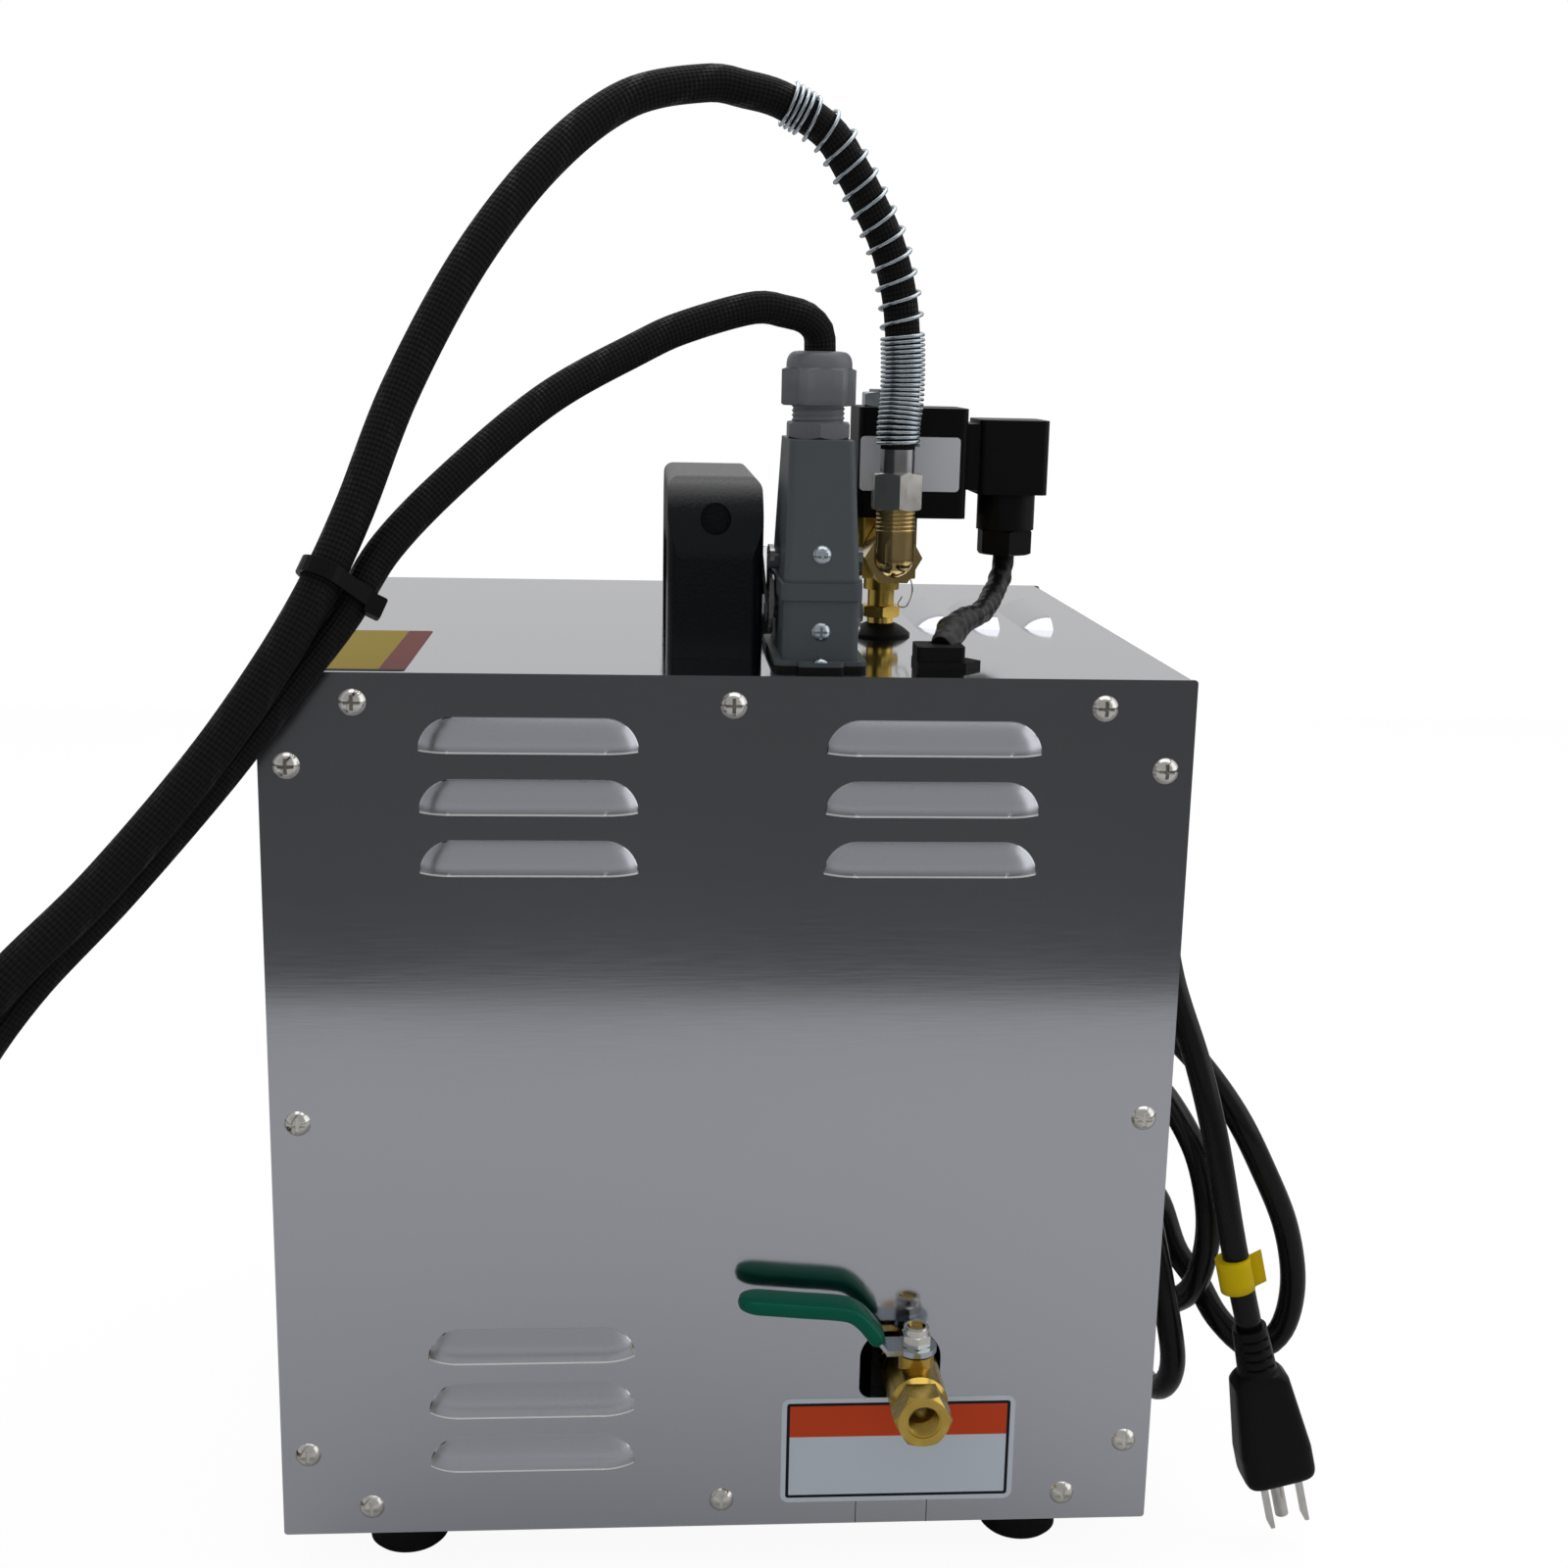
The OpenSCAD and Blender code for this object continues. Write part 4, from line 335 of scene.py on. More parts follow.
white_plastic = finish("white seat plastic", rgb(0.82, 0.82, 0.8), 0.35)
vinyl_green = finish("green vinyl dip", rgb(0.0, 0.1, 0.058), 0.17, shine=0.12,
                     paint=skinned(60, 0.0003))
red_plastic = finish("red rocker plastic", rgb(0.5, 0.012, 0.01), 0.25, coat=0.4)
lamp_red = finish("red lamp lens", rgb(0.75, 0.05, 0.02), 0.1, coat=0.6)
clear = finish("clear lens", rgb(0.95, 0.97, 0.98), 0.04, settings={"Alpha": 0.2})

# %% [markdown]
# The drawn parts keep their shape and only get a finish. A dictionary from node to
# material does it in one pass, and the print shows that no node was forgotten.

# %% Finishes of the drawn parts
finishes = {
    panel_steel: ["rear_panel", "front_panel", "base_tray"],
    wrap_steel: ["cabinet_wrap"],
    tank_steel: ["boiler_tank"],
    nickel: ["panel_screws", "lever_nut", "plug_pins", "hose_nut"],
    zinc: ["assembly_screws", "coil_nut", "drain_lever"],
    brass: ["valve_body", "steam_pipe", "drain_pipe", "drain_valve_body", "drain_stem"],
    bright_brass: ["outlet_elbow", "hose_end_fitting"],
    steel: ["latch_lever", "plunger_tube", "plunger", "plunger_spring", "hose_ferrule"],
    chrome: ["drain_ball", "pressure_gauge"],
    copper: ["heater_element"],
    handle_black: ["carry_handle"],
    hood_grey: ["connector_base", "connector_hood"],
    gland_grey: ["gland_body", "gland_nut"],
    resin_black: ["solenoid_coil"],
    plug_black: ["din_plug", "plug_nut", "iron_cable_plug", "filler_cap", "switch_frames",
                 "gauge_needle", "hose_strap"],
    cord_black: ["mains_boot"],
    rubber: ["rubber_feet", "connector_gasket", "column_grommet", "lead_grommet"],
    white_plastic: ["ball_seats"],
    vinyl_green: ["lever_grip"],
    red_plastic: ["rocker_main", "rocker_iron"],
    lamp_red: ["pilot_lamps"],
    clear: ["gauge_lens"],
}
for made, names in finishes.items():
    for name in names:
        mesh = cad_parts[name].data
        mesh.materials.clear()
        mesh.materials.append(made)
left = set(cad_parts) - {name for names in finishes.values() for name in names}
print("drawn parts that are remade below:", sorted(left))

# %% [markdown]
# Every new piece is a grid of points: a function of two parameters, worked out for the
# whole grid at once. The helper turns such a grid into faces, closes it where it wraps
# round, caps its ends, and turns the faces outwards by the sign of the volume.

# %% From a grid of points to a mesh


def grid_piece(name, points, material, body="root", ring=False, along=None, slot=None,
               smooth=True):
    """A closed mesh from points[row, column]. The last column joins the first. The end rows
    are capped, or with ring they join too. The UV holds the share round and the way along."""
    rows, columns = points.shape[:2]
    spans = rows if ring else rows - 1
    row = np.arange(spans)[:, None]
    column = np.arange(columns)[None, :]
    following, below = (column + 1) % columns, (row + 1) % rows
    corners = [row * columns + column, row * columns + following,
               below * columns + following, below * columns + column]
    quads = np.stack(corners, -1).reshape(-1, 4)
    along = np.linspace(0, 1, spans + 1) if along is None else along
    share, step = column / columns, 1 / columns
    across = np.stack(np.broadcast_arrays(share, share + step, share + step, share), -1)
    across = np.broadcast_to(across, (spans, columns, 4))
    down = np.stack([along[:-1], along[:-1], along[1:], along[1:]], -1)[:, None, :]
    uv = np.stack([across, np.broadcast_to(down, across.shape)], -1).reshape(-1, 2)
    flat = points.reshape(-1, 3)
    faces = quads.tolist()
    middle = flat.mean(0)
    tri = quads[:, [0, 1, 2, 0, 2, 3]].reshape(-1, 3)
    inside = np.einsum("ij,ij->i", flat[tri[:, 0]] - middle,
                       np.cross(flat[tri[:, 1]] - middle, flat[tri[:, 2]] - middle)).sum()
    if not ring:
        ends = [np.arange(columns)[::-1], (rows - 1) * columns + np.arange(columns)]
        faces += [end.tolist() for end in ends]
    if inside < 0:
        faces = [face[::-1] for face in faces]
        uv = uv.reshape(-1, 4, 2)[:, ::-1].reshape(-1, 2)
    if not ring:
        uv = np.vstack([uv, np.zeros((2 * columns, 2))])
    mesh = bpy.data.meshes.new(name)
    mesh.from_pydata(flat.tolist(), [], faces)
    mesh.uv_layers.new(name="way").data.foreach_set("uv", uv.ravel())
    if smooth:
        mesh.polygons.foreach_set("use_smooth", np.arange(len(faces)) < len(quads))
    mesh.materials.append(material)
    mesh.update()
    piece = bpy.data.objects.new(name, mesh)
    bpy.context.collection.objects.link(piece)
    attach(piece, body)
    print(f"{name}: {len(faces)} faces")
    return piece


# %% [markdown]
# A cord is a circle carried along a smooth line. The line passes through the drawn route
# points with a Catmull-Rom curve, whose slope at a point is that between its neighbours.
# The circle's two directions are carried along with as little turning as can be, so the
# braid does not twist by itself.

# %% A smooth line and its directions


def smooth_line(points, step=0.003):
    """Catmull-Rom through the points: between p1 and p2 at share t it is half of
    2 p1 + (p2-p0) t + (2 p0-5 p1+4 p2-p3) t^2 + (3 p1-p0-3 p2+p3) t^3, in equal steps."""
    p = np.vstack([2 * points[0] - points[1], points, 2 * points[-1] - points[-2]])
    t = np.linspace(0, 1, 24, endpoint=False)[None, :, None]
    p0, p1, p2, p3 = p[:-3, None], p[1:-2, None], p[2:-1, None], p[3:, None]
    curve = (2 * p1 + (p2 - p0) * t + (2 * p0 - 5 * p1 + 4 * p2 - p3) * t ** 2
             + (3 * p1 - p0 - 3 * p2 + p3) * t ** 3) / 2
    curve = np.vstack([curve.reshape(-1, 3), points[-1:]])
    run = run_of(curve)
    even = np.linspace(0, run[-1], int(run[-1] / step) + 1)
    return np.stack([np.interp(even, run, curve[:, k]) for k in range(3)], -1)


def run_of(line):
    """The way along a line to each of its points."""
    steps = np.linalg.norm(np.diff(line, axis=0), axis=1)
    return np.concatenate([[0], np.cumsum(steps)])


def unit(vectors):
    return vectors / np.linalg.norm(vectors, axis=-1, keepdims=True)


def directions(line):
    """Way, side and lift at each station: each side is the last one made square to the way."""
    way = unit(np.gradient(line, axis=0))
    side = np.empty_like(way)
    first = np.array([0.0, 0, 1]) if abs(way[0, 2]) < 0.8 else np.array([1.0, 0, 0])
    for k, ahead_k in enumerate(way):
        first = unit(first - first @ ahead_k * ahead_k)
        side[k] = first
    return way, side, np.cross(way, side)


def tube(line, radius, around=16):
    """Rings of points: line + radius (cos a side + sin a lift), for a round the circle."""
    _, side, lift = directions(line)
    a = np.linspace(0, 2 * np.pi, around, endpoint=False)[None, :, None]
    radius = np.broadcast_to(radius, len(line))[:, None, None]
    return line[:, None] + radius * (np.cos(a) * side[:, None] + np.sin(a) * lift[:, None])


# %% [markdown]
# The steam hose and the iron's cable have a woven jacket. Two sets of yarns cross: the
# product of a right-hand and a left-hand screw wave makes the small diamonds, and one yarn
# in eight is glossier. The pattern reads the cord's own UV, so it follows every bend.

# %% Woven jacket


def woven(yarns, pitch):
    """Paint for a braid: sin(n u + v/pitch) sin(n u - v/pitch) as a bump, and as painted shade:
    the colour is darker in the hollows between the yarns and paler on their crowns.
    """
    def paint(tree):
        around, along, _ = tree.node("ShaderNodeUVMap").parts()
        turn = around * (2 * np.pi * yarns)
        climb = along * (2 * np.pi / pitch)
        weave = (turn + climb).sin() * (turn - climb).sin()
        crown_height_and_shade = weave * 0.5 + 0.5
        fleck = ((turn + climb) * 0.125).sin() > 0.86
        # Painted shade: the base colour follows the weave's height, dark in the hollows between
        # the yarns and paler on their crowns.
        return {"Base Color": tree.mix(crown_height_and_shade, grey(0.002), grey(0.011)),
                "Roughness": 0.62 - 0.22 * fleck,
                "Normal": bump(tree, crown_height_and_shade, 0.00035, 0.8)}
    return paint


hose_jacket = finish("woven hose jacket", grey(0.006), 0.6, shine=0.1, paint=woven(14, 0.0034))
cable_jacket = finish("woven cable jacket", grey(0.006), 0.6, shine=0.1, paint=woven(12, 0.003))

# %% [markdown]
# Both cords end in a flat coil on the floor beside the boiler, as they are put away. The
# coil winds inwards on the floor, climbs half a turn and winds outwards on top of itself,
# which is how a real coil lets its end out without crossing.

# %% The coils' line
STORE_X, STORE_Y = -345, -5
STORE_TURNS, STORE_START = 1.1, -100
PITCH_SHARE, TURN_GAP = 1.26, 0.6


def stored(outer, thick, floor):
    """A flat two-layer spiral: the radius falls by the pitch per turn, rests, then grows,
    and the height rises by a cosine step in the half turn between. Both ends run straight."""
    u = np.arange(0, round(24 * (2 * STORE_TURNS + 0.5)) + 1) / 24
    pitch, step = thick * PITCH_SHARE, thick + TURN_GAP
    inner = outer - pitch * STORE_TURNS
    radius = np.where(u < STORE_TURNS, outer - pitch * u,
                      np.maximum(inner, inner + pitch * (u - STORE_TURNS - 0.5)))
    share = np.clip((u - STORE_TURNS) / 0.5, 0, 1)
    angle = np.radians(STORE_START - 360 * u)
    coil = np.stack([STORE_X + radius * np.cos(angle), STORE_Y + radius * np.sin(angle),
                     floor + step * (1 - np.cos(np.pi * share)) / 2], -1)
    lead_in = coil[0] - thick * unit(coil[1] - coil[0])
    let_out = coil[-1] + (thick + 1) * unit(coil[-1] - coil[-2])
    return np.vstack([lead_in, coil, let_out])


# %% [markdown]
# The hose rises from the valve's outlet, bends over the cabinet and comes down on the left
# in front of the cable. Its route was read off the photograph point by point, with the
# depth chosen so that it hangs as a stiff hose of that weight does.

# %% Steam hose
HOSE_THICK = 12
hose_points = [
    [58, 64, 389], [58, 64, 396], [59, 65, 408], [58.6, 65, 425], [56.7, 65, 441], [52, 64, 457],
    [46, 63, 469], [39, 62, 481], [31, 61, 492], [16, 59, 501], [3, 56, 504],
    [-10, 52, 505], [-35, 40, 498], [-59, 26, 478], [-82, 10, 447], [-102, -6, 408],
    [-115, -22, 372], [-125, -33, 349], [-138, -44, 326], [-156, -56, 300],
    [-181, -72, 270], [-204, -87, 247], [-223, -96.5, 223], [-238, -102, 194],
    [-248.5, -104.3, 161], [-257, -103.3, 127], [-265, -100.5, 94], [-275, -97.3, 64],
    [-289.5, -94, 38], [-309, -90.5, 20], [-334, -86.2, 9.3]]
hose_coil = stored(78, HOSE_THICK, HOSE_THICK / 2 + 0.2)
hose_line = smooth_line(placed(np.vstack([hose_points, hose_coil])))
hose_run = run_of(hose_line)
hose = grid_piece("steam_hose_braid", tube(hose_line, HOSE_THICK / 2 * MM, 20), hose_jacket,
                  along=hose_run, slot="braid")
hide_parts("steam_hose", "steam_hose_coil")
print("hose length", round(hose_run[-1], 3), "m")

# %% [markdown]
# The iron's cable leaves the grey gland beside the hose, bends over lower and runs behind
# it. On the floor it lies on top of the hose's coil.

# %% Iron's cable
CABLE_THICK = 10.5
cable_points = [
    [28.5, 44, 392], [28.5, 44, 410], [28.5, 44, 424], [27.6, 43.4, 428],
    [23.5, 41.2, 431.8], [17, 39.5, 433.5], [6, 37, 434.5], [-16, 30, 428],
    [-31, 24, 421], [-59, 10, 405], [-86, -6, 382], [-106, -17.5, 361],
    [-118.5, -26, 340.5], [-134.5, -34, 319.5], [-153, -45, 295], [-178.5, -60, 265],
    [-200.5, -76.5, 241.5], [-216, -85.5, 219], [-230, -90.5, 191], [-241, -92, 158],
    [-250, -90.7, 124], [-260.5, -87, 92], [-273, -82.5, 66.5], [-288, -79.5, 47],
    [-307.5, -76.7, 35.3], [-331.5, -72.4, 31]]
CABLE_FLOOR = HOSE_THICK / 2 + 0.2 + HOSE_THICK + TURN_GAP + HOSE_THICK / 2 + 0.3 + 5.25
cable_coil = stored(64, CABLE_THICK, CABLE_FLOOR)
cable_line = smooth_line(placed(np.vstack([cable_points, cable_coil])))
cable_run = run_of(cable_line)
cable = grid_piece("iron_cable_braid", tube(cable_line, CABLE_THICK / 2 * MM, 18),
                   cable_jacket, along=cable_run, slot="braid")
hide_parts("iron_cable", "iron_cable_coil")
print("cable length", round(cable_run[-1], 3), "m")

# %% [markdown]
# The mains lead is a round vinyl cord from the right-hand side, folded in two and a half
# loose loops beside the cabinet, with its plug hanging in front.

# %% Mains lead
MAINS_THICK = 9.3
mains_points = [
    [164, 92, 152], [164, 87, 152], [168, 68, 150.5], [174, 46, 138], [177.5, 38, 118],
    [177.5, 40, 98], [175, 50, 80], [169, 72, 67], [161, 96, 71], [157, 112, 92], [157, 111, 118],
    [157, 94, 135], [157, 66, 134], [158, 45, 113], [162, 37, 90], [168, 38, 61],
    [168, 48, 44], [167, 70, 34.5], [168, 96, 37], [170, 117, 58], [170, 119, 80],
    [170, 103, 101], [171.5, 82, 103], [175, 68, 90], [181.5, 60, 81], [188, 50, 70],
    [199, 43, 62], [209, 41.5, 69], [212, 40.5, 88], [207, 39, 112], [196, 38, 136],
    [185, 39, 156], [174, 50, 171], [166, 73, 178], [160, 104, 184], [156, 124, 203],
    [156, 123, 224], [156, 104, 243], [156, 74, 244], [156.5, 52, 228],
    [158.5, 37, 206], [166, 25, 180], [172.5, 19.5, 154], [179, 16, 122],
    [184.4, 15, 99], [186.9, 15, 89.5], [188, 15, 85]]
mains_line = smooth_line(placed(mains_points))
mains_run = run_of(mains_line)
mains = grid_piece("mains_cord", tube(mains_line, MAINS_THICK / 2 * MM, 18), cord_black,
                   along=mains_run, slot="lead")
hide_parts("mains_lead")
print("mains lead length", round(mains_run[-1], 3), "m")

# %% [markdown]
# The mains plug is moulded onto the lead: a ribbed relief that swells into a soft-edged
# block. One grid does it all. Each ring is a superellipse |x/a|^p + |y/b|^p = 1, and a, b
# and p change along the axis from a circle (p = 2) to a rounded box (p = 5).

# %% Moulded plug
PLUG_START, PLUG_TILT = np.array([188, 15, 85]), np.radians(166)
plug_axis = np.array([np.sin(PLUG_TILT), 0, np.cos(PLUG_TILT)])
plug_side = np.array([np.cos(PLUG_TILT), 0, -np.sin(PLUG_TILT)])
way_down = np.concatenate([np.linspace(0, 18.2, 92), np.linspace(18.4, 56, 60),
                           60 - 4 * np.cos(np.linspace(0, np.pi / 2, 12)[1:]) ** 1.4])
relief = 6.1 + way_down / 22 * 1.2
swell = np.clip((way_down - 17.8) / 3.2, 0, 1) ** 0.5
drop = np.clip((way_down - 18) / 30, 0, 1)
edge_round = 1 - np.sqrt(np.clip(1 - np.clip((way_down - 56) / 4, 0, 1) ** 2, 0.0, 1))
half_x = relief + swell * (9.6 + 3.4 * drop - relief) - 1.6 * edge_round
half_y = relief + swell * (7.4 + 2.6 * drop - relief) - 1.6 * edge_round
power = 2 + 3 * swell
turned = np.linspace(0, 2 * np.pi, 96, endpoint=False)[None, :]
reach = (np.abs(np.cos(turned) / half_x[:, None]) ** power[:, None]
         + np.abs(np.sin(turned) / half_y[:, None]) ** power[:, None]) ** (-1 / power[:, None])
in_groove = ((way_down - 3) % 3.6 < 1.4) & (way_down > 3) & (way_down < 15.6)
on_face = np.clip(6 * (np.abs(np.sin(turned)) - 0.62), 0, 1)
reach = reach - 2.0 * in_groove[:, None] * on_face
plug_points = (PLUG_START + way_down[:, None, None] * plug_axis
               + (reach * np.cos(turned))[..., None] * plug_side
               + (reach * np.sin(turned))[..., None] * np.array([0.0, 1, 0]))
plug_mould = grid_piece("moulded_plug", placed(plug_points), plug_black, slot="lead")
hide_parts("mains_plug")

# %% [markdown]
# A wire spring guards the hose where it bends: close coils on the ferrule, then open
# ones, and a few close turns that stop it at the far end. It is a helix wound on the
# hose's own line, so it bends with it.

# %% Spring guard
WIRE, GUARD_GAP = 1.3, 0.4
CLOSE_TURNS, OPEN_TURNS, END_TURNS = 23, 12, 4
CLOSE_PITCH, OPEN_PITCH, END_PITCH = 1.6, 6.7, 1.95
turn = np.linspace(0, CLOSE_TURNS + OPEN_TURNS + END_TURNS,
                   24 * (CLOSE_TURNS + OPEN_TURNS + END_TURNS))
close_way = CLOSE_TURNS * CLOSE_PITCH
open_way = close_way + OPEN_TURNS * OPEN_PITCH
guard_way = (WIRE + np.interp(turn, [0, CLOSE_TURNS, CLOSE_TURNS + OPEN_TURNS, turn[-1]],
                              [0, close_way, open_way, open_way + END_TURNS * END_PITCH])) * MM


def along_hose(values):
    """Values at the hose's stations, read at the guard's way along it."""
    return np.stack([np.interp(guard_way, hose_run, values[:, k]) for k in range(3)], -1)


_, hose_side, hose_lift = directions(hose_line)
guard_radius = (HOSE_THICK / 2 + GUARD_GAP + WIRE / 2) * MM
guard_turn = 2 * np.pi * turn[:, None]
guard_line = along_hose(hose_line) + guard_radius * (
    np.cos(guard_turn) * unit(along_hose(hose_side))
    + np.sin(guard_turn) * unit(along_hose(hose_lift)))
guard = grid_piece("hose_spring_guard", tube(guard_line, WIRE / 2 * MM, 8), zinc,
                   along=run_of(guard_line), slot="steel")
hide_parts("spring_guard")

# %% [markdown]
# A screw thread is a helix cut into a round bar. Its radius depends on two parameters, the
# height and the angle: a triangle wave of the height over the pitch minus the angle over a
# full turn. One function makes outer threads, and a ring with the thread inside for bores.

# %% Threads


def wave(phase):
    """A triangle wave from 0 to 1 and back to 0 over one unit of phase."""
    return 1 - np.abs(2 * (phase % 1) - 1)


def thread_rings(low_end, high_end, root, crest, pitch, around=48):
    """Rings of a thread about the Z axis: radius = root + (crest - root) wave(z/pitch - a)."""
    z = np.linspace(low_end, high_end, int((high_end - low_end) / pitch * 12) + 1)[:, None]
    turn = np.linspace(0, 1, around, endpoint=False)[None, :]
    radius = root + (crest - root) * np.minimum(1, 1.25 * wave(z / pitch - turn))
    angle = 2 * np.pi * turn
    return np.stack(np.broadcast_arrays(radius * np.cos(angle), radius * np.sin(angle), z), -1)


HOSE_AXIS, GLAND_AXIS = [58, 64, 0], [28.5, 44, 0]
grid_piece("elbow_thread",
           placed(thread_rings(361.2, 368.4, 6.2, 6.95, 1.45) + HOSE_AXIS),
           bright_brass, slot="bright_brass")
grid_piece("gland_thread",
           placed(thread_rings(398.4, 404, 8.0, 8.8, 1.5) + GLAND_AXIS),
           gland_grey, slot="gland")
BORE_PITCH, BORE_LONG, DRAIN_MOUTH = 1.34, 9, [64.5, -34.6, 78.3]
bore = thread_rings(0, BORE_LONG, 5.72, 5.0, BORE_PITCH)
sleeve = thread_rings(0, BORE_LONG, 6.1, 6.1, BORE_PITCH)[::-1]
bore_rings = np.vstack([bore, sleeve])[..., [0, 2, 1]] + DRAIN_MOUTH
grid_piece("drain_bore_thread", placed(bore_rings), brass, ring=True, slot="brass")

# %% [markdown]
# The gland's nut is a moulding: a hexagon whose flats are partly ribbed for grip, and a cap
# with a round shoulder that presses on the cable. Its radius depends on height and angle:
# the hexagon is a/cos of the angle to the nearest flat, and the cap a superellipse.

# %% Gland nut
FLAT_HALF, CAP_R, CAP_MOUTH, NUT_TURN = 11.1, 10.9, 6.6, np.radians(-24.3 - 90)
nut_low, nut_high = (np.array(corner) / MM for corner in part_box("gland_nut"))
hex_top, cap_top = nut_low[2] + 12.1, nut_high[2]
angle = np.linspace(0, 2 * np.pi, 720, endpoint=False)[None, :]
to_flat = (angle - NUT_TURN) % (np.pi / 3) - np.pi / 6
hexagon = np.minimum(FLAT_HALF / np.cos(to_flat), FLAT_HALF * 1.125)
ribbed = (np.sin(2 * (angle + np.radians(90 - 50))) > -0.03).astype(float)
hexagon = hexagon + 0.13 * ribbed * (np.sin(angle * 120) - 1)
rise = np.linspace(0, 1, 22)[:, None]
cap_rows = CAP_MOUTH + (CAP_R - CAP_MOUTH) * (1 - rise ** 2.6) ** (1 / 2.6)
rows = [(nut_low[2], hexagon - 0.8), (nut_low[2] + 0.5, hexagon), (hex_top - 0.5, hexagon),
        (hex_top, np.minimum(hexagon - 0.3, CAP_R + 0.2)), (hex_top + 0.1, CAP_R + 0 * angle)]
rows += [(hex_top + 0.4 + up * (cap_top - hex_top - 0.4), radius + 0 * angle)
         for up, radius in zip(rise[:, 0], cap_rows)]
rows += [(cap_top - 0.1, CAP_MOUTH - 0.7 + 0 * angle), (cap_top - 2, 5.5 + 0 * angle),
         (nut_low[2], 5.5 + 0 * angle)]
nut_z = np.array([row[0] for row in rows])[:, None]
nut_r = np.vstack([row[1] for row in rows])
nut_points = np.stack([nut_r * np.cos(angle), nut_r * np.sin(angle), nut_z + 0 * angle],
                      -1) + GLAND_AXIS
gland = grid_piece("gland_cap_nut", placed(nut_points), gland_grey, ring=True, slot="gland")
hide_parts("gland_nut")

# %% [markdown]
# The lever's grip is a vinyl dip: the zinc strap was heated and dipped, so the coat is
# thick, its edges are round and its end is a soft half circle. The section is a
# superellipse carried along the lever's S-shaped line, narrowing to the tip.

# %% Vinyl dip on the lever
GRIP_WIDE, GRIP_THICK, TIP_LONG = 12.4, 5.7, 7.5
STEM = np.array([64.5, -11, 92])
grip_line = smooth_line(placed(np.array([
    [-12.2, 0, 3.6], [-15.0, 0, 7.3], [-18.1, 0, 11.2], [-22, 0, 14.3], [-27.3, 0, 15.6],
    [-40, 0, 16.7], [-52, 0, 17.8], [-60.5, 0, 18.5]]) + STEM), 0.0006)
grip_run = run_of(grip_line)
to_tip = np.clip((grip_run[-1] - grip_run) / (TIP_LONG * MM), 0, 1)
taper = np.sqrt(np.clip(1 - (1 - to_tip) ** 2, 0.0004, 1))
mouth = np.clip(0.72 + grip_run / 0.0022 * 0.28, 0, 1)
angle = np.linspace(0, 2 * np.pi, 40, endpoint=False)[None, :]
power = 2 / 3.4
edge_y = np.sign(np.cos(angle)) * np.abs(np.cos(angle)) ** power
edge_z = np.sign(np.sin(angle)) * np.abs(np.sin(angle)) ** power
way = unit(np.gradient(grip_line, axis=0))
lift = np.stack([-way[:, 2], np.zeros(len(way)), way[:, 0]], -1)
half_wide = GRIP_WIDE / 2 * MM * (taper * mouth)[:, None] * edge_y
half_thick = GRIP_THICK / 2 * MM * (np.sqrt(taper) * mouth)[:, None] * edge_z
grip_points = (grip_line[:, None] + half_wide[..., None] * np.array([0, 1.0, 0])
               + half_thick[..., None] * lift[:, None])
grip = grid_piece("vinyl_grip", grip_points, vinyl_green, body="drain_handle", slot="vinyl")
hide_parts("lever_grip")

# %% [markdown]
# The coil's lead runs in a loose black sleeve that wrinkles where it bends. The radius
# along it is a sum of two waves that do not repeat together, which reads as folds.

# %% Wrinkled sleeve
lead_points = np.array([
    [100.7, 98, 52.6], [100.7, 98, 39.5], [100.7, 98, 30.5], [101.6, 96, 25],
    [99.3, 90, 20], [94.6, 78, 15.6], [87.9, 62, 12.6], [81.6, 51, 12.2],
    [77.2, 44, 10.8], [76, 41.4, 10], [73.7, 36.3, 8.3], [70, 28, 5.7]])
lead_x = float(sum(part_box("plug_nut")[k][0] for k in (0, 1)) / 2 / MM)
lead_y = float(sum(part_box("plug_nut")[k][1] for k in (0, 1)) / 2 / MM) + ORIGIN_DEPTH
lead_points[:3, :2] = lead_x, lead_y
lead_line = smooth_line(placed(lead_points + [0, 0, PANEL_TOP]), 0.001)
lead_run = run_of(lead_line)
share = lead_run / lead_run[-1]
swell = 1 + 0.3 * np.exp(-((share - 0.86) / 0.09) ** 2)
folds = 1 + 0.09 * np.sin(lead_run / 0.0012) * np.sin(lead_run / 0.0047 + 1)
lead_rings = tube(lead_line, 3.9 * MM * swell * folds, 24)
ripple = 1 + 0.05 * np.sin(3 * np.linspace(0, 2 * np.pi, 24)[None, :, None]
                           + (lead_run / 0.004)[:, None, None])
lead_rings = lead_line[:, None] + (lead_rings - lead_line[:, None]) * ripple


def sleeve_shade(tree):
    """Black, and paler towards its lower end."""
    _, along, _ = tree.node("ShaderNodeUVMap").parts()
    pale = ((along - 0.72) * 6).at_least(0.0).at_most(1.0)
    return {"Base Color": tree.mix(pale, grey(0.004), grey(0.022))}


sleeve_black = finish("shrunk sleeve", grey(0.006), 0.4, shine=0.2, paint=sleeve_shade)
lead = grid_piece("coil_lead_sleeve", lead_rings, sleeve_black, slot="sleeve")
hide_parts("coil_lead")

# %% [markdown]
# Labels are thin plates with round corners. The print is not a picture: each colour field
# is a mask from the distance to a rounded box, so its edges stay sharp at any size. A
# plate's outline is a rounded rectangle given by an angle, and its rows go up the edge.

# %% Label plates


def rounded_outline(wide, high, corner, around=64):
    """A rounded rectangle by angle: a circle of the corner's radius, moved to a corner."""
    a = (np.arange(around) + 0.5) * 2 * np.pi / around
    x = np.cos(a) * corner + np.sign(np.cos(a)) * (wide / 2 - corner)
    y = np.sin(a) * corner + np.sign(np.sin(a)) * (high / 2 - corner)
    return np.stack([x, y], -1)


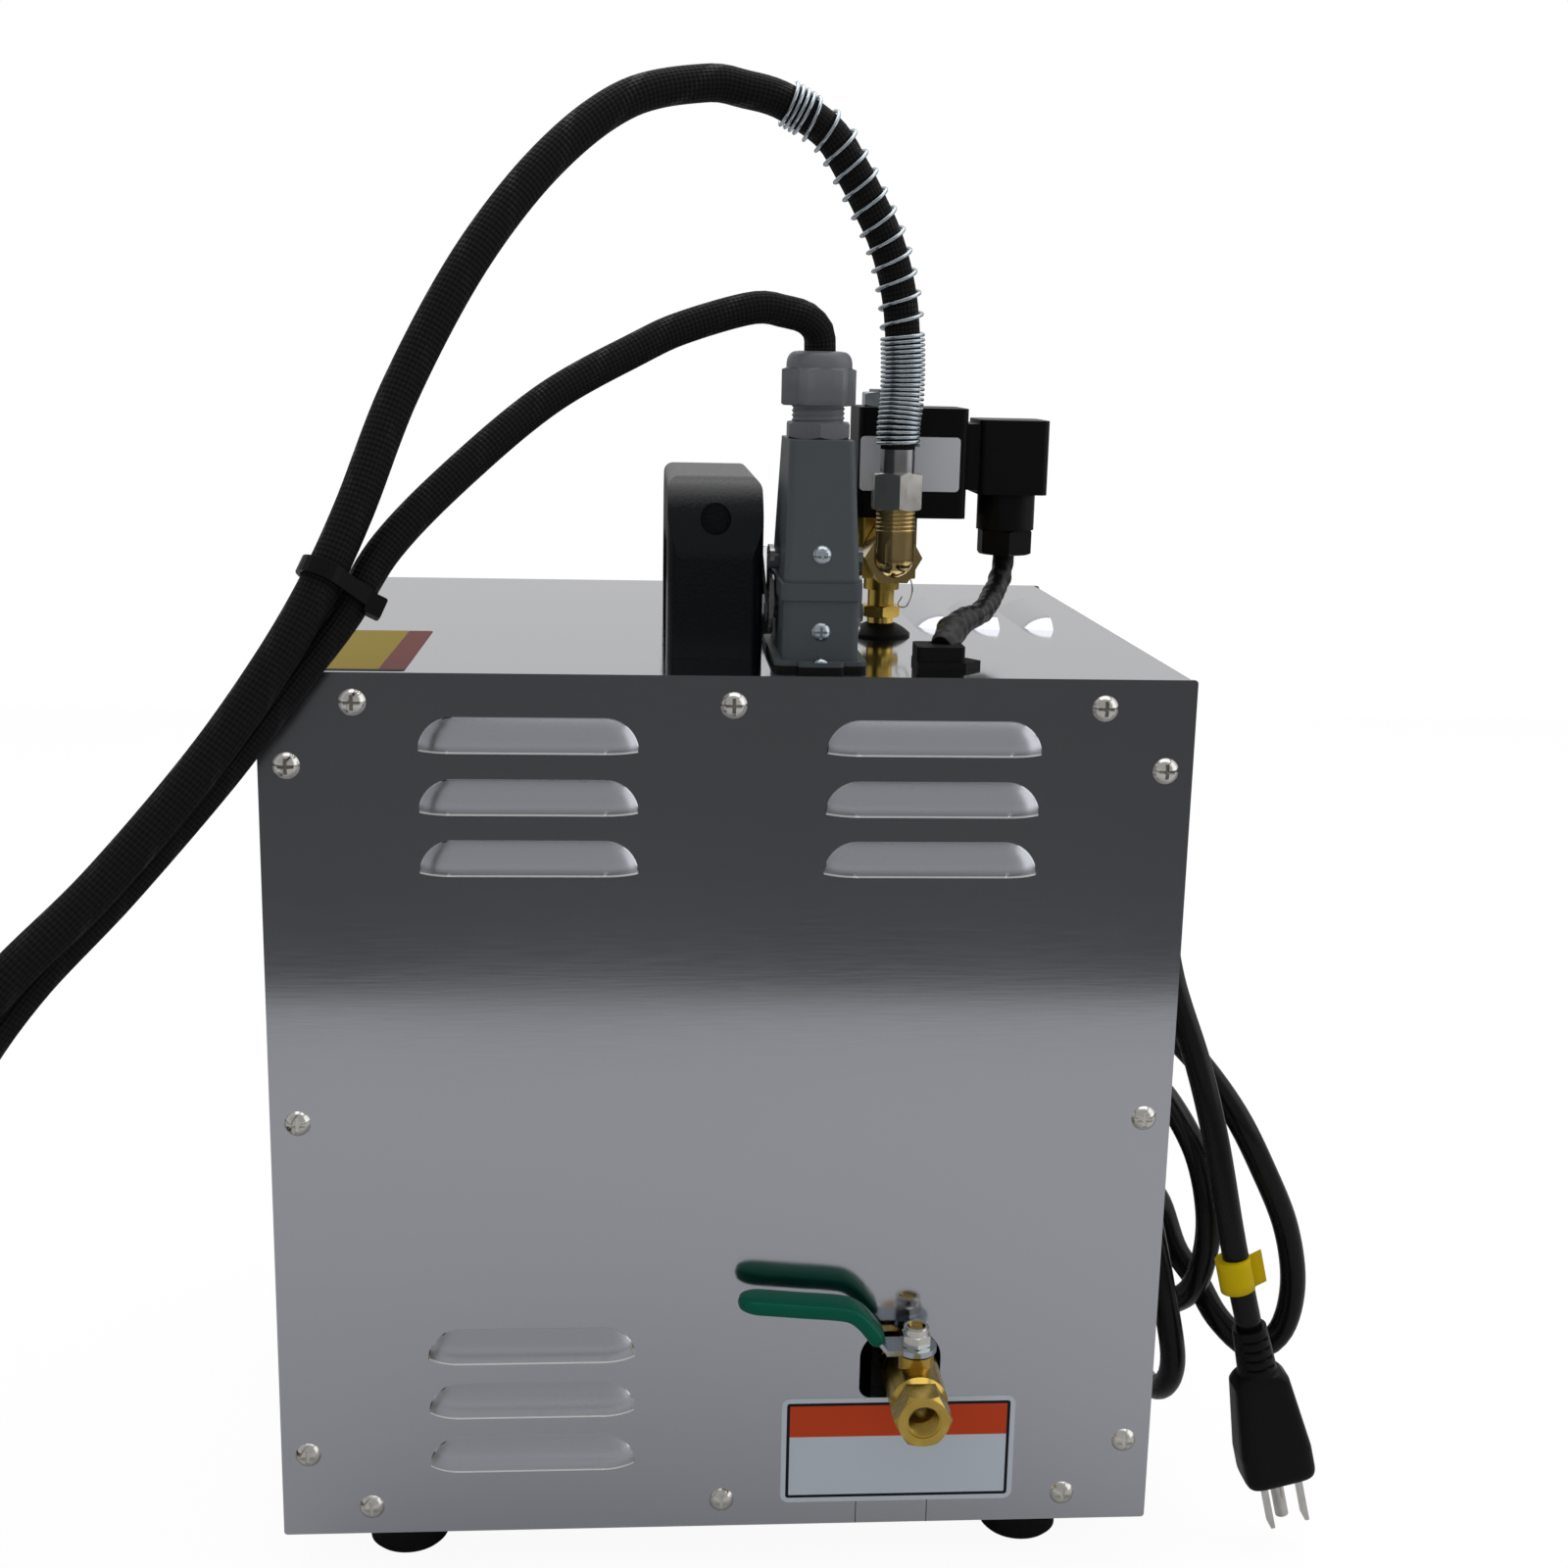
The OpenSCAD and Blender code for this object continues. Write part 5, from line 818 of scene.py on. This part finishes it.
def plate(name, middle, across, upwards, wide, high, corner, thick, material, **more):
    """A plate at middle, spanned by two unit directions, thick along their cross product."""
    outline = rounded_outline(wide, high, corner)
    across, upwards = np.array(across, float), np.array(upwards, float)
    out = np.cross(across, upwards)
    flat = outline[:, :1] * across + outline[:, 1:] * upwards
    inner = flat * (1 - 0.15 / max(wide, high))
    rings = np.stack([flat, flat + 0.7 * thick * out, inner + thick * out])
    return grid_piece(name, placed(rings + middle), material, smooth=False, **more)


def box_mask(across, up, wide, high, corner):
    """1 inside a rounded box: the distance to its inner box is less than the corner."""
    from_x = (abs(across) - (wide / 2 - corner)).at_least(0.0)
    from_y = (abs(up) - (high / 2 - corner)).at_least(0.0)
    return (from_x * from_x + from_y * from_y) < corner * corner


WHITE, INK = rgb(0.57, 0.63, 0.70), rgb(0.01, 0.01, 0.014)
ORANGE, YELLOW = rgb(0.58, 0.062, 0.018), rgb(0.29, 0.21, 0.02)
LABEL_X, LABEL_Z = 61.25, 48.25


def drain_print(tree):
    """White plate, dark frame line, orange band in the upper third and a white field."""
    x, _, z = place_of(tree).parts()
    across, up = x - LABEL_X * MM, z - LABEL_Z * MM
    frame_out = box_mask(across, up, 78.0 * MM, 36.0 * MM, 1.0 * MM)
    frame_in = box_mask(across, up, 75.8 * MM, 33.8 * MM, 0.3 * MM)
    band = frame_in * (up > 5.2 * MM)
    colour = tree.mix(frame_out, WHITE, INK)
    colour = tree.mix(frame_in, colour, WHITE)
    return {"Base Color": tree.mix(band, colour, ORANGE)}


def top_print(tree):
    """Yellow field, red band at its right-hand end and a dark lower edge."""
    x, y, _ = place_of(tree).parts()
    edge = (y < (6.0 - ORIGIN_DEPTH) * MM)
    red = tree.mix(x > -112.4 * MM, YELLOW, rgb(0.15, 0.04, 0.036))
    return {"Base Color": tree.mix(edge, red, INK)}


plate("drain_label", [LABEL_X, 0, LABEL_Z], [1, 0, 0], [0, 0, 1], 81.5, 39.5, 3, 0.2,
      finish("drain label print", WHITE, 0.3, shine=0.1, paint=drain_print),
      slot="rear_sheet")
plate("top_label", [-124.5, 48.5, PANEL_TOP], [1, 0, 0], [0, 1, 0], 41, 91, 1.5, 0.15,
      finish("top label print", YELLOW, 0.5, shine=0.06, paint=top_print),
      slot="top_sheet")
plate("coil_label", [64.8, 82, 383], [1, 0, 0], [0, 0, 1], 35.5, 19, 1.5, 0.15,
      finish("silver label", rgb(0.62, 0.63, 0.67), 0.35, 0.2), slot="coil")

# %% [markdown]
# Small things finish the picture: the strap's lock, a thin seal wire round the valve's
# neck, a yellow tag folded over the mains lead, and the gauge's printed dial.

# %% Strap head, seal wire and lead tag
head = plate("strap_head", [-109.4, -24.4, 343.4], unit(np.array([0.83, 0.1, -0.42])),
             unit(np.array([0.365, 0.4, 0.84])), 5.5, 6.6, 0.8, 4.6, plug_black, slot="rubber")
wire_line = smooth_line(placed([
    [61.5, 91.5, 346], [65.2, 91, 345], [67.9, 91, 340.6], [68.3, 91, 336],
    [66.4, 91.5, 331.4], [63.5, 92.2, 331.8], [65.0, 92, 335]]), 0.0008)
grid_piece("seal_wire", tube(wire_line, 0.28 * MM, 8), nickel, slot="latch")
tag_yellow = finish("yellow tag", rgb(0.62, 0.45, 0.003), 0.4, shine=0.08)
near = np.argmin(np.abs(mains_line[-400:, 2] - 0.1065) + (mains_line[-400:, 1] > -0.09))
tag_at = len(mains_line[:-400]) + near
band_line = mains_line[tag_at - 2:tag_at + 3] - [1.3 * MM, 0, 0]
tag_band = grid_piece("tag_band", tube(band_line, (MAINS_THICK / 2 + 1.5) * MM, 32),
                      tag_yellow, slot="lead")
tag_flag = plate("tag_flag", mains_line[tag_at] / MM + [6.6, ORIGIN_DEPTH + 0.5, 1.6],
                 unit(np.array([0.8, -0.2, 0.55])), unit(np.array([-0.24, 0.0, 0.97])),
                 5.6, 12.5, 0.4, 0.5, tag_yellow, slot="lead")

# %% Gauge dial
DIAL_X, DIAL_Z, DIAL_Y, TICKS = -70, 230, 269.05, 36


def dial_print(tree):
    """White dial with TICKS ticks to a turn along its rim, and a red arc at its end."""
    x, _, z = place_of(tree).parts()
    across, up = x - DIAL_X * MM, z - DIAL_Z * MM
    radius = tree.math("SQRT", across * across + up * up)
    angle = tree.math("ARCTAN2", across, up)
    tick = abs(tree.math("FRACT", angle * (TICKS / (2 * np.pi)) + 0.5) - 0.5) < 0.09
    rim = (radius > 16 * MM) * (radius < 19 * MM)
    used = (abs(angle) < 2.37)
    red = rim * used * (angle < -1.3)
    base = tree.mix(tick * rim * used, grey(0.8), INK)
    return {"Base Color": tree.mix(red * (radius > 17.6 * MM), base, rgb(0.6, 0.02, 0.01))}


plate("gauge_dial", [DIAL_X, DIAL_Y, DIAL_Z], [-1, 0, 0], [0, 0, 1], 41, 41, 20.49, 0.15,
      finish("dial print", grey(0.8), 0.4, paint=dial_print), slot="gauge")

# %% [markdown]

# %% [markdown]
# The boiler stands on a white table. Light comes from a large soft lamp above and two
# weaker ones, in front and at the right. Seen directly the room is white; a polished sheet
# sees a dim room above a bright table, which is what gives it its dark upper third.

# %% Floor, room and lamps
TABLE_FRONT, TABLE_SIDE, TABLE_BACK = -0.76, 1.6, 1.6
table_corner = np.array([[[-TABLE_SIDE, TABLE_FRONT, 0], [TABLE_SIDE, TABLE_FRONT, 0]],
                         [[-TABLE_SIDE, TABLE_BACK, 0], [TABLE_SIDE, TABLE_BACK, 0]]])
table_white = bpy.data.materials.new("white table")
table_white.use_nodes = True
tree = Link(table_white.node_tree)
output = table_white.node_tree.nodes["Material Output"]
table_white.node_tree.nodes.remove(table_white.node_tree.nodes["Principled BSDF"])
seen = tree.node("ShaderNodeLightPath")
through = Link(tree.tree, seen.socket.node.outputs["Is Transmission Ray"])
plain = tree.node("ShaderNodeBsdfDiffuse", inputs={"Color": grey(0.66)})
glow = tree.node("ShaderNodeEmission", inputs={"Color": grey(1), "Strength": 1.09})
shown = tree.node("ShaderNodeMixShader",
                  inputs={0: (seen.at_least(through) * 0.86).at_most(1), 1: plain, 2: glow})
tree.tree.links.new(shown.socket, output.inputs["Surface"])
table_mesh = bpy.data.meshes.new("table")
table_mesh.from_pydata(table_corner.reshape(-1, 3).tolist(), [], [[0, 1, 3, 2]])
table_mesh.materials.append(table_white)
table = bpy.data.objects.new("table", table_mesh)
bpy.context.collection.objects.link(table)

world = bpy.data.worlds.new("room")
bpy.context.scene.world = world
world.use_nodes = True
tree = Link(world.node_tree)
paths = tree.node("ShaderNodeLightPath").socket.node
direct = Link(tree.tree, paths.outputs["Is Camera Ray"])
soft = Link(tree.tree, paths.outputs["Is Diffuse Ray"])
through = Link(tree.tree, paths.outputs["Is Transmission Ray"])
_, depth, height = tree.node("ShaderNodeTexCoord", out=0).parts()
room = tree.node("ShaderNodeValToRGB", {"stops": [
    (0.0, grey(0.30)), (0.34, grey(0.10)), (0.455, grey(0.08)), (0.53, grey(0.60)),
    (1.0, grey(0.75))]}, {"Fac": height * 0.5 + 0.5})
near = ((height * 4).at_least(0.0).at_most(1.0)
        * (0.5 - depth * 2).at_least(0.0).at_most(1.0))
room = tree.mix(near, room, grey(0.40))
dimmed = tree.mix(soft, room, grey(0.32))
shade = tree.mix(direct.at_least(through), dimmed, grey(1.0))
world.node_tree.links.new(shade.socket, world.node_tree.nodes["Background"].inputs["Color"])


def lamp(name, where, towards, power, wide, mirrored=True):
    """A square soft lamp of that power in watts and width in metres, turned to a point.
    Mirrored says whether polished surfaces show it."""
    made = bpy.data.lights.new(name, "AREA")
    made.energy, made.size = power, wide
    hung = bpy.data.objects.new(name, made)
    bpy.context.collection.objects.link(hung)
    hung.visible_glossy = mirrored
    back = unit(np.array(where, float) - towards)
    level = unit(np.cross([0.1, 0.02, 1], back))
    over = np.cross(back, level)
    hung.matrix_world = Matrix([[level[k], over[k], back[k], where[k]] for k in range(3)]
                               + [[0, 0, 0, 1]])
    return hung


MIDDLE = np.array([0, 0, 0.18])
lamp("ceiling lamp", (0.2, 0.5, 1.9), MIDDLE, 19, 2.2)
lamp("front lamp", (-0.5, -1.8, 1.3), MIDDLE, 10, 2.4, mirrored=False)
lamp("right lamp", (1.8, -0.3, 1.0), MIDDLE, 7, 1.6)
bpy.context.scene.view_settings.view_transform = "Standard"
